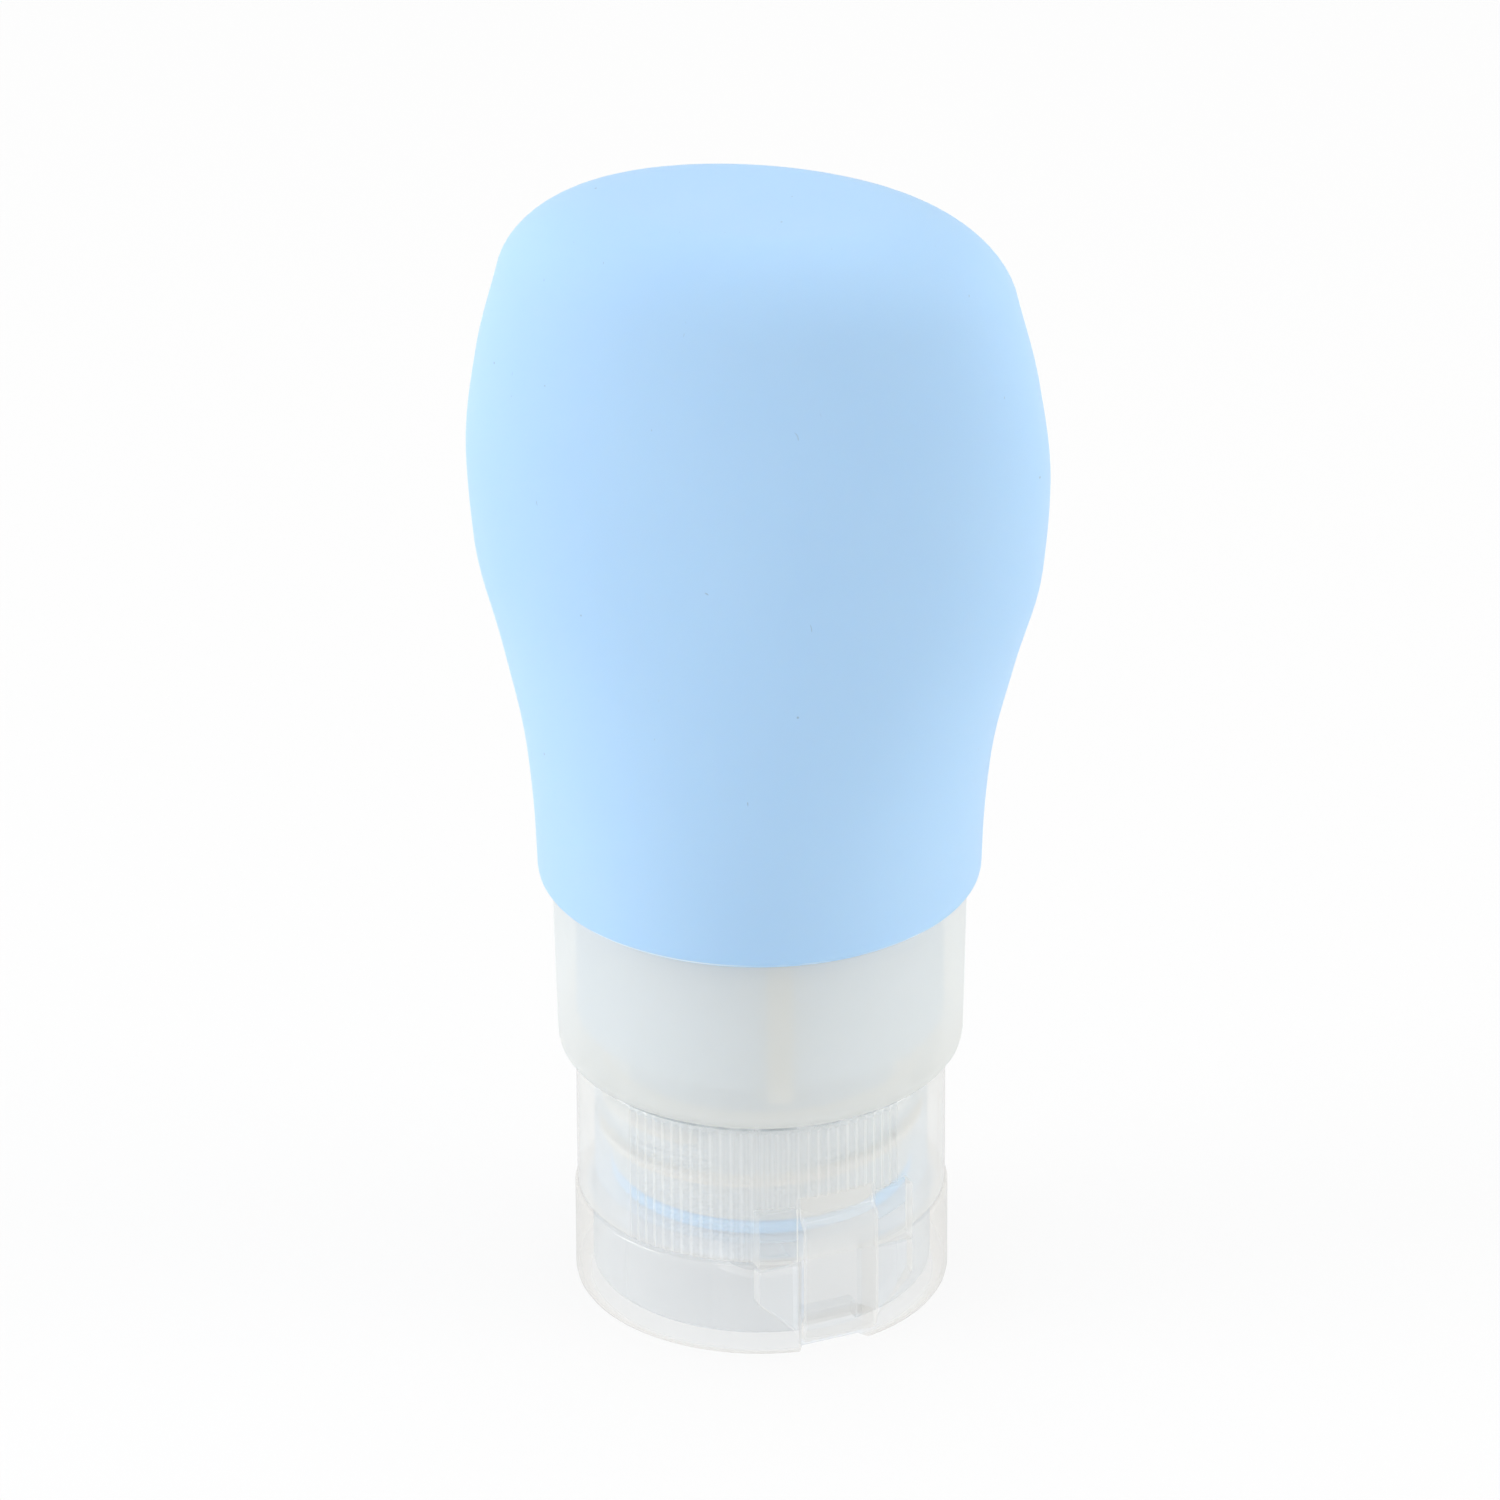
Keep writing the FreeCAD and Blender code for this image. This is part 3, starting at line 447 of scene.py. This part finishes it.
# The key stays a closed shell of its own, sunk into the collar's wall and floor.
key = brick((KEY_FACE, -KEY_HALF_WIDTH, COLLAR_FLOOR_TOP - KEY_SINK),
            (COLLAR_BORE + KEY_ROOT, KEY_HALF_WIDTH, COLLAR_TOP - KEY_DROP), KEY_ROUNDING)
key.data.transform(Matrix.Rotation(KEY_TURN, 4, "Z"))
mesh = bmesh.new()
mesh.from_mesh(collar.data)
mesh.from_mesh(key.data)
mesh.to_mesh(collar.data)
mesh.free()
bpy.data.objects.remove(key)

# Natural polypropylene, moulded thick: milky, with a satin skin that blurs what is behind it. The ridge of
# the thread is thicker still and a little creamier, and its cream tone is also a painted highlight for the
# glints it catches.
milky = bpy.data.materials.new("milky_natural_polypropylene")
milky.use_nodes = True
tree = milky.node_tree
shader = tree.nodes["Principled BSDF"]
place = add_node(tree, "ShaderNodeTexCoord").outputs["Object"]
flow = add_node(tree, "ShaderNodeTexNoise", {"Scale": 1 / (6 * MM), "Detail": 3.0}, {"Vector": place})
tone = add_node(tree, "ShaderNodeMix", {6: linear("F6F7F2"), 7: linear("FAFAF6")},
                {0: flow.outputs["Fac"]}, data_type="RGBA")
# Partly painted highlight: the thread's ridge gets a creamier tone, for its thicker plastic and for the
# cream glints it catches.
ridge = add_node(tree, "ShaderNodeMath", {1: RIDGE_MIDDLE * MM, 2: RIDGE_HALF * MM},
                 {0: from_axis(tree, place)}, operation="COMPARE")
tone = add_node(tree, "ShaderNodeMix", {7: linear("FDF6EA")}, {0: ridge.outputs[0], 6: tone.outputs[2]},
                data_type="RGBA")
tree.links.new(tone.outputs[2], shader.inputs["Base Color"])
shader.inputs["Roughness"].default_value = 0.45
shader.inputs["IOR"].default_value = POLYPROPYLENE_IOR
shader.inputs["Specular IOR Level"].default_value = 0.8
shader.inputs["Alpha"].default_value = 0.62
passing = add_node(tree, "ShaderNodeBsdfTranslucent", {}, {"Color": tone.outputs[2]})
wall = add_node(tree, "ShaderNodeMixShader", {0: 0.2}, {1: shader.outputs[0], 2: passing.outputs[0]})
let_light_in(tree, wall, 0.25)
finish_moulding(collar, milky, 35)
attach(collar, "bottle")
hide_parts("threaded_collar")

# Valve
# A slit disc of soft silicone under the spout, and the polypropylene ring that is pressed into the cap's
# sleeve to hold it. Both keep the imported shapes.
valve_silicone = silicone.copy()
valve_silicone.name = "valve_silicone"
for node, material in (("valve_membrane", valve_silicone), ("valve_retainer", milky)):
    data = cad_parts[node].data
    data.materials.clear()
    data.materials.append(material)

# Screw cap
# A cap moulded from clear natural polypropylene. It has fine grip ribs on two sides, a thread inside, a
# deck with the spout hole, a sleeve for the valve, the two lugs of the lid's hinge, and a thumb notch.
SEAM = 8.9
DECK_TOP = 9.9
CAP_TOP = 21.7
SKIRT_RADIUS = 15.6
SKIRT_BORE = 14.1
SKIRT_ROWS = (9.5, 10.0, 14.6, 15.2, 15.6, 20.6, 21.1)
SLEEVE_OUTSIDE = 8.6
SLEEVE_BORE = 7.6
SLEEVE_TOP = 12.9
SPOUT_RADIUS = 5.0
CAP_RIDGE = 14.6
CAP_RISE = 3.8
RIB_HEIGHT = 0.25
RIB_PITCH = math.radians(3.2)
RIBS_PER_PANEL = 29
RIB_STEPS = (0.0, 0.15, 0.5, 0.85, 1.0, 0.85, 0.5, 0.15)
PANEL_TURN = math.radians(-113)
PANEL_ARC = RIB_PITCH * RIBS_PER_PANEL
PLAIN_STEPS = 48
HINGE_FACE = 15.5
HINGE_HALF_WIDTH = 7.07
HINGE_ROUNDING = 0.2
HINGE_LAP = 0.6
LUG_HEIGHT = 5.3
LUG_DEPTH = 3.0
LUG_INNER = 14.6
STRAP_SEAT = 15.2
STRAP_TOP = 15.0
SLOT_HALF = 3.57
SET_BACK = 0.02
NOTCH_HALF_WIDTH = 5.0
NOTCH_HEIGHT = 2.2
NOTCH_FLOOR = 15.0
HAIR = 1e-4

mesh = bmesh.new()
turned(mesh, [
    (SPOUT_RADIUS, SEAM, 0.3),
    (SKIRT_RADIUS, SEAM, 0.3),
    *[(SKIRT_RADIUS, row, 0) for row in SKIRT_ROWS],
    (SKIRT_RADIUS, CAP_TOP, 0.35),
    (SKIRT_BORE, CAP_TOP, 0.35),
    (SKIRT_BORE, DECK_TOP, 0.4),
    (SLEEVE_OUTSIDE, DECK_TOP, 0.3),
    (SLEEVE_OUTSIDE, SLEEVE_TOP, 0.25),
    (SLEEVE_BORE, SLEEVE_TOP, 0.25),
    (SLEEVE_BORE, DECK_TOP, 0.15),
    (SPOUT_RADIUS, DECK_TOP, 0.3),
], [(PANEL_ARC, RIBS_PER_PANEL * len(RIB_STEPS)), (CIRCLE / 2 - PANEL_ARC, PLAIN_STEPS)] * 2)
for vert in mesh.verts:
    turn = math.atan2(vert.co.y, vert.co.x) % (CIRCLE / 2)
    if vert.co.xy.length > SKIRT_RADIUS - NEAR and turn < PANEL_ARC - HAIR:
        share = turn / RIB_PITCH % 1
        rib = RIB_STEPS[round(share * len(RIB_STEPS)) % len(RIB_STEPS)]
        vert.co.xy *= 1 + RIB_HEIGHT * rib / SKIRT_RADIUS
bmesh.ops.rotate(mesh, cent=(0, 0, 0), matrix=Matrix.Rotation(PANEL_TURN - PANEL_ARC / 2, 3, "Z"),
                 verts=mesh.verts)
cap = blank("cap_moulding", mesh)
lug_foot = SEAM + SET_BACK
for side in (-1, 1):
    inner = side * (SLOT_HALF - HINGE_LAP)
    outer = side * HINGE_HALF_WIDTH
    lug = slab([
        (inner, -HINGE_FACE, lug_foot),
        (outer, -HINGE_FACE, lug_foot),
        (outer, LUG_DEPTH - HINGE_FACE, lug_foot),
        (inner, -LUG_INNER, lug_foot),
    ], (0, 0, LUG_HEIGHT), HINGE_ROUNDING)
    carve(cap, lug, "UNION")
flat = brick((-SLOT_HALF, -STRAP_SEAT, SEAM - CUT_PAST), (SLOT_HALF, -STRAP_SEAT - CUT_OUT, STRAP_TOP))
carve(cap, flat, "DIFFERENCE")
notch = brick((-NOTCH_HALF_WIDTH, NOTCH_FLOOR, SEAM - CUT_PAST),
              (NOTCH_HALF_WIDTH, SKIRT_RADIUS + CUT_OUT, SEAM + NOTCH_HEIGHT))
carve(cap, notch, "DIFFERENCE")
carve(cap, thread_ridge(SKIRT_BORE, CAP_RIDGE, CAP_RISE, -1), "UNION")

# Natural polypropylene, moulded thin and polished: almost clear, with bright edges, and a little hazier in
# the skirt than in the lid. The lid's cup is a little darker and creamier, a painted shade. Inner walls are
# painted bluer for the blue light from the silicone, most of all the deck under the blue lip, a painted
# reflection, and a broken dark line of painted shadow runs along the rim, for the gap under the collar.
# Past the reach of the turned walls is the hinge, as clear as the lid.
TURNED_REACH = 15.87
OUTER_WALL = 14.9
INNER_WALL = 14.4
DECK_MIDDLE = 9.5
DECK_HALF = 0.6
RIM_HALF = 0.15
POLISH = 0.12
VEIL = 0.05
SKIRT_VEIL = 0.11
EDGE_HAZE = 0.42
clear = bpy.data.materials.new("clear_natural_polypropylene")
clear.use_nodes = True
tree = clear.node_tree
shader = tree.nodes["Principled BSDF"]
place = add_node(tree, "ShaderNodeTexCoord").outputs["Object"]
flow = add_node(tree, "ShaderNodeTexNoise", {"Scale": 1 / (4 * MM), "Detail": 3.0}, {"Vector": place})
tone = add_node(tree, "ShaderNodeMix", {6: linear("F8F8F5"), 7: linear("FCFCF9")},
                {0: flow.outputs["Fac"]}, data_type="RGBA")
radius = from_axis(tree, place)
height = add_node(tree, "ShaderNodeSeparateXYZ", {}, {0: place}).outputs["Z"]
wall = add_node(tree, "ShaderNodeMath", {1: TURNED_REACH * MM}, {0: radius}, operation="LESS_THAN")
low = add_node(tree, "ShaderNodeMath", {1: SEAM * MM}, {0: height}, operation="LESS_THAN")
high = add_node(tree, "ShaderNodeMath", {1: SEAM * MM}, {0: height}, operation="GREATER_THAN")
# Painted shade: the lid's cup, below the seam, is tinted a little darker and creamier than the skirt of the
# same plastic.
lid_cup_shade = add_node(tree, "ShaderNodeMath", {}, {0: low.outputs[0], 1: wall.outputs[0]}, operation="MULTIPLY")
skirt = add_node(tree, "ShaderNodeMath", {}, {0: high.outputs[0], 1: wall.outputs[0]},
                 operation="MULTIPLY")
# Painted blue light: inner walls are tinted bluer, for the light that the blue silicone inside sends onto
# them.
inner_blue_light = add_node(tree, "ShaderNodeMapRange", {"From Min": OUTER_WALL * MM, "From Max": INNER_WALL * MM},
                  {"Value": radius})
# Painted blue reflection: the deck under the blue lip is tinted bluer still.
level = add_node(tree, "ShaderNodeMath", {1: DECK_MIDDLE * MM, 2: DECK_HALF * MM}, {0: height},
                 operation="COMPARE")
deck_blue_reflection = add_node(tree, "ShaderNodeMath", {}, {0: level.outputs[0], 1: inner_blue_light.outputs[0]},
                operation="MULTIPLY")
# Painted shadow: a broken dark line along the cap's rim, for the shade in the gap under the collar.
rim = add_node(tree, "ShaderNodeMath", {1: CAP_TOP * MM, 2: RIM_HALF * MM}, {0: height},
               operation="COMPARE")
breaks = add_node(tree, "ShaderNodeTexNoise", {"Scale": 1 / (2.5 * MM)}, {"Vector": place})
patchy = add_node(tree, "ShaderNodeMapRange", {"From Min": 0.42, "From Max": 0.55},
                  {"Value": breaks.outputs["Fac"]})
rim_gap_shadow = add_node(tree, "ShaderNodeMath", {}, {0: rim.outputs[0], 1: patchy.outputs[0]},
                 operation="MULTIPLY")
# Painted shade on the lid's cup, painted blue light on inner walls and the deck, and the painted shadow
# along the rim.
for share, colour in ((lid_cup_shade, "ECEAE4"), (inner_blue_light, "EDF6FD"), (deck_blue_reflection, "E3F2FD"), (rim_gap_shadow, "6F7672")):
    tone = add_node(tree, "ShaderNodeMix", {7: linear(colour)}, {0: share.outputs[0], 6: tone.outputs[2]},
                    data_type="RGBA")
tree.links.new(tone.outputs[2], shader.inputs["Base Color"])
shader.inputs["Roughness"].default_value = POLISH
shader.inputs["IOR"].default_value = POLYPROPYLENE_IOR
shader.inputs["Alpha"].default_value = 0.15
passing = add_node(tree, "ShaderNodeBsdfTranslucent", {}, {"Color": tone.outputs[2]})
scatter = add_node(tree, "ShaderNodeBsdfDiffuse", {}, {"Color": tone.outputs[2]})
milk = add_node(tree, "ShaderNodeMixShader", {0: 0.6}, {1: passing.outputs[0], 2: scatter.outputs[0]})
slant = add_node(tree, "ShaderNodeLayerWeight", {"Blend": 0.5})
depth = add_node(tree, "ShaderNodeMath", {1: 2.0}, {0: slant.outputs["Facing"]}, operation="POWER")
veil = add_node(tree, "ShaderNodeMath", {1: SKIRT_VEIL, 2: VEIL}, {0: skirt.outputs[0]},
                operation="MULTIPLY_ADD")
haze = add_node(tree, "ShaderNodeMath", {1: EDGE_HAZE}, {0: depth.outputs[0], 2: veil.outputs[0]},
                operation="MULTIPLY_ADD")
hazy = add_node(tree, "ShaderNodeMixShader", {},
                {0: haze.outputs[0], 1: shader.outputs[0], 2: milk.outputs[0]})
within = add_node(tree, "ShaderNodeNewGeometry").outputs["Backfacing"]
outside = add_node(tree, "ShaderNodeMath", {0: 1.0}, {1: within}, operation="SUBTRACT")
mirror = add_node(tree, "ShaderNodeFresnel", {"IOR": POLYPROPYLENE_IOR})
glance = add_node(tree, "ShaderNodeMath", {}, {0: mirror.outputs[0], 1: outside.outputs[0]},
                  operation="MULTIPLY")
gloss = add_node(tree, "ShaderNodeBsdfGlossy", {"Roughness": POLISH})
polished = add_node(tree, "ShaderNodeMixShader", {},
                    {0: glance.outputs[0], 1: hazy.outputs[0], 2: gloss.outputs[0]})
let_light_in(tree, polished, 0.97)
finish_moulding(cap, clear, 30)
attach(cap, "cap")
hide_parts("screw_cap")

# Hinge strap
# The middle strap of the lid's hinge, moulded with the cap and the lid. It stands out past the lugs. On the
# real bottle it bends when the lid opens; here it is built closed and rides with neither the lid nor the
# cap.
STRAP_HALF_WIDTH = 3.32
STRAP_FACE = 16.7
STRAP_BACK = 16.0
STRAP_LOW = 1.6
STRAP_CHAMFER = 0.5
STRAP_ROUNDING = 0.12
STRAP_ROWS = 36
BEND_LINE = 13.5
BEND_STEPS = ((0.95, 0.0), (0.3, 0.35), (0.0, 0.65))
BEND_BACK_LOW = 12.2
BEND_BACK_TOP = 12.9
FOOT_TOP = 3.1
FOOT_LAP = 0.2
SLOT_FLOOR = 14.0
SLOT_TAPER = 1.0
SEAT_GAP = 0.03

strap = slab([
    (-STRAP_HALF_WIDTH, -y, z) for y, z in (
        (STRAP_SEAT + SEAT_GAP, STRAP_TOP - SET_BACK),
        *[(STRAP_FACE - back, BEND_LINE - down) for back, down in BEND_STEPS],
        (STRAP_FACE, FOOT_TOP),
        (STRAP_FACE - STRAP_CHAMFER, STRAP_LOW),
        (STRAP_BACK, STRAP_LOW),
        (STRAP_BACK, BEND_BACK_LOW),
        (STRAP_SEAT + SEAT_GAP, BEND_BACK_TOP),
    )
], (2 * STRAP_HALF_WIDTH, 0, 0), STRAP_ROUNDING)
foot = slab([
    (-STRAP_HALF_WIDTH, -STRAP_BACK - FOOT_LAP, STRAP_LOW),
    (STRAP_HALF_WIDTH, -STRAP_BACK - FOOT_LAP, STRAP_LOW),
    (STRAP_HALF_WIDTH, -HINGE_FACE, STRAP_LOW),
    (STRAP_HALF_WIDTH - SLOT_TAPER, -SLOT_FLOOR, STRAP_LOW),
    (SLOT_TAPER - STRAP_HALF_WIDTH, -SLOT_FLOOR, STRAP_LOW),
    (-STRAP_HALF_WIDTH, -HINGE_FACE, STRAP_LOW),
], (0, 0, FOOT_TOP - STRAP_LOW), STRAP_ROUNDING)
carve(strap, foot, "UNION")
mesh = bmesh.new()
mesh.from_mesh(strap.data)
for row in range(STRAP_ROWS):
    rise = FOOT_TOP + (STRAP_TOP - FOOT_TOP) * (row + 0.5) / STRAP_ROWS
    bmesh.ops.bisect_plane(mesh, geom=mesh.verts[:] + mesh.edges[:] + mesh.faces[:], dist=HAIR,
                           plane_co=(0, 0, rise), plane_no=(0, 0, 1))
mesh.to_mesh(strap.data)
mesh.free()
strap.name = "strap_moulding"
finish_moulding(strap, clear, 30)
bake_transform(strap)
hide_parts("hinge_strap")

# Flip lid
# A shallow cup moulded with the cap from clear natural polypropylene. Two hinge blocks meet the cap's lugs,
# a notch takes the strap, and a plug ring on the floor closes the spout.
LID_RADIUS = 15.8
LID_HEIGHT = 8.75
LID_HOLLOW = 14.3
LID_FLOOR = 1.3
LID_STEPS = 160
PLUG_RADIUS = 4.4
PLUG_BORE = 3.4
PLUG_TOP = 9.35
BLOCK_FOOT = 5.6
BLOCK_DEPTH = 2.6
GUSSET_FOOT = 1.3
BOSS_HALF_WIDTH = SLOT_HALF - SLOT_TAPER
BOSS_DEPTH = 1.5
BOSS_SINK = 0.6

mesh = bmesh.new()
turned(mesh, [
    (0, 0, 0),
    (LID_RADIUS, 0, 0.8),
    (LID_RADIUS, LID_HEIGHT, 0.25),
    (LID_HOLLOW, LID_HEIGHT, 0.25),
    (LID_HOLLOW, LID_FLOOR, 0.6),
    (PLUG_RADIUS, LID_FLOOR, 0.3),
    (PLUG_RADIUS, PLUG_TOP, 0.3),
    (PLUG_BORE, PLUG_TOP, 0.2),
    (PLUG_BORE, LID_FLOOR, 0.3),
    (0, LID_FLOOR, 0),
], [(CIRCLE, LID_STEPS)])
lid = blank("lid_moulding", mesh)
for side in (-1, 1):
    inner = side * (SLOT_HALF - HINGE_LAP)
    outer = side * HINGE_HALF_WIDTH
    block = slab([
        (inner, -HINGE_FACE, GUSSET_FOOT),
        (inner, -HINGE_FACE, LID_HEIGHT - SET_BACK),
        (outer, -HINGE_FACE, LID_HEIGHT - SET_BACK),
        (outer, -HINGE_FACE, BLOCK_FOOT),
    ], (0, BLOCK_DEPTH, 0), HINGE_ROUNDING)
    carve(lid, block, "UNION")
slot = slab([
    (-SLOT_HALF, -LID_RADIUS - CUT_OUT, -CUT_PAST),
    (SLOT_HALF, -LID_RADIUS - CUT_OUT, -CUT_PAST),
    (SLOT_HALF, -HINGE_FACE, -CUT_PAST),
    (SLOT_HALF - SLOT_TAPER, -SLOT_FLOOR, -CUT_PAST),
    (SLOT_TAPER - SLOT_HALF, -SLOT_FLOOR, -CUT_PAST),
    (-SLOT_HALF, -HINGE_FACE, -CUT_PAST),
], (0, 0, LID_HEIGHT + 2 * CUT_PAST))
carve(lid, slot, "DIFFERENCE")
boss = brick((-BOSS_HALF_WIDTH, SEAT_GAP - SLOT_FLOOR, LID_FLOOR - BOSS_SINK),
             (BOSS_HALF_WIDTH, BOSS_DEPTH - SLOT_FLOOR, FOOT_TOP), HINGE_ROUNDING)
carve(lid, boss, "UNION")
finish_moulding(lid, clear, 30)
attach(lid, "lid")
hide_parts("flip_lid")

# Studio
# A white floor and a white surround, which the camera, reflections and clear plastic see as plain white,
# with softboxes at both sides and above, and a long lens at the photograph's angle.
FILL = 0.61
FLOOR_HALF = 3000
FLOOR_DROP = 0.05
FLOOR_CLEARNESS = 0.85
AZIMUTH = math.radians(-24)
ELEVATION = math.radians(27.2)
ROLL = math.radians(-0.34)
AIM = Vector((-0.0006, 0.0005, 0.0493))
DISTANCE = 1.162
FOCAL_LENGTH = 333.4
SENSOR_WIDTH = 36
UP = Vector((0, 0, 1))
SOFTBOX_SPREAD = 0.9
SOFTBOX_FORWARD = 0.15
SOFTBOX_RISE = 0.35
SOFTBOX_TOP = 1.1
SOFTBOX_AIM = 0.05


def seen_plainly(tree):
    """1 for rays from the camera, a reflection or clear plastic, and 0 for light that falls on things."""
    rays = add_node(tree, "ShaderNodeLightPath").outputs
    looks = add_node(tree, "ShaderNodeMath", {}, {0: rays["Is Camera Ray"], 1: rays["Is Glossy Ray"]},
                     operation="ADD")
    seen = add_node(tree, "ShaderNodeMath", {}, {0: looks.outputs[0], 1: rays["Is Transmission Ray"]},
                    operation="ADD", use_clamp=True)
    return seen.outputs[0]


world = bpy.data.worlds.new("white_surround")
bpy.context.scene.world = world
world.use_nodes = True
tree = world.node_tree
strength = add_node(tree, "ShaderNodeMath", {1: 1 - FILL, 2: FILL}, {0: seen_plainly(tree)},
                    operation="MULTIPLY_ADD")
tree.links.new(strength.outputs[0], tree.nodes["Background"].inputs["Strength"])
tree.nodes["Background"].inputs["Color"].default_value = (1, 1, 1, 1)

mesh = bmesh.new()
bmesh.ops.create_grid(mesh, x_segments=1, y_segments=1, size=FLOOR_HALF,
                      matrix=Matrix.Translation((0, 0, -FLOOR_DROP)))
floor = blank("studio_floor", mesh)
# White paper: matt, and seen almost as white as the surround behind it.
paper = bpy.data.materials.new("white_paper")
paper.use_nodes = True
tree = paper.node_tree
shader = tree.nodes["Principled BSDF"]
shader.inputs["Base Color"].default_value = linear("F2F2F2")
shader.inputs["Roughness"].default_value = 0.9
share = add_node(tree, "ShaderNodeMath", {1: FLOOR_CLEARNESS}, {0: seen_plainly(tree)},
                 operation="MULTIPLY")
clear_air = add_node(tree, "ShaderNodeBsdfTransparent")
sheet = add_node(tree, "ShaderNodeMixShader", {},
                 {0: share.outputs[0], 1: shader.outputs[0], 2: clear_air.outputs[0]})
tree.links.new(sheet.outputs[0], tree.nodes["Material Output"].inputs["Surface"])
finish_moulding(floor, paper, 30)

sideways = Vector((math.cos(AZIMUTH), math.sin(AZIMUTH), 0))
back = sideways.cross(UP) * math.cos(ELEVATION) + UP * math.sin(ELEVATION)
forward = back * SOFTBOX_FORWARD + UP * SOFTBOX_RISE
for name, spot, size, energy, colour in (
    ("softbox_left", forward - sideways * SOFTBOX_SPREAD, 0.5, 4.0, "FFFFFF"),
    ("softbox_right", forward + sideways * SOFTBOX_SPREAD, 0.5, 3.3, "FFFAF2"),
    ("softbox_top", UP * SOFTBOX_TOP, 0.8, 2.4, "FFFFFF"),
):
    lamp = bpy.data.lights.new(name, "AREA")
    lamp.size = size
    lamp.energy = energy
    lamp.color = linear(colour)[:3]
    softbox = bpy.data.objects.new(name, lamp)
    softbox.location = spot
    softbox.rotation_euler = (spot - UP * SOFTBOX_AIM).to_track_quat("Z", "Y").to_euler()
    bpy.context.scene.collection.objects.link(softbox)

lens = bpy.data.cameras.new("long_lens")
lens.sensor_width = SENSOR_WIDTH
lens.lens = FOCAL_LENGTH
camera = bpy.data.objects.new("long_lens", lens)
camera.location = AIM + back * DISTANCE
facing = back.to_track_quat("Z", "Y") @ Quaternion((0, 0, 1), ROLL)
camera.rotation_euler = facing.to_euler()
bpy.context.scene.collection.objects.link(camera)
bpy.context.scene.camera = camera
bpy.context.scene.view_settings.view_transform = "Standard"
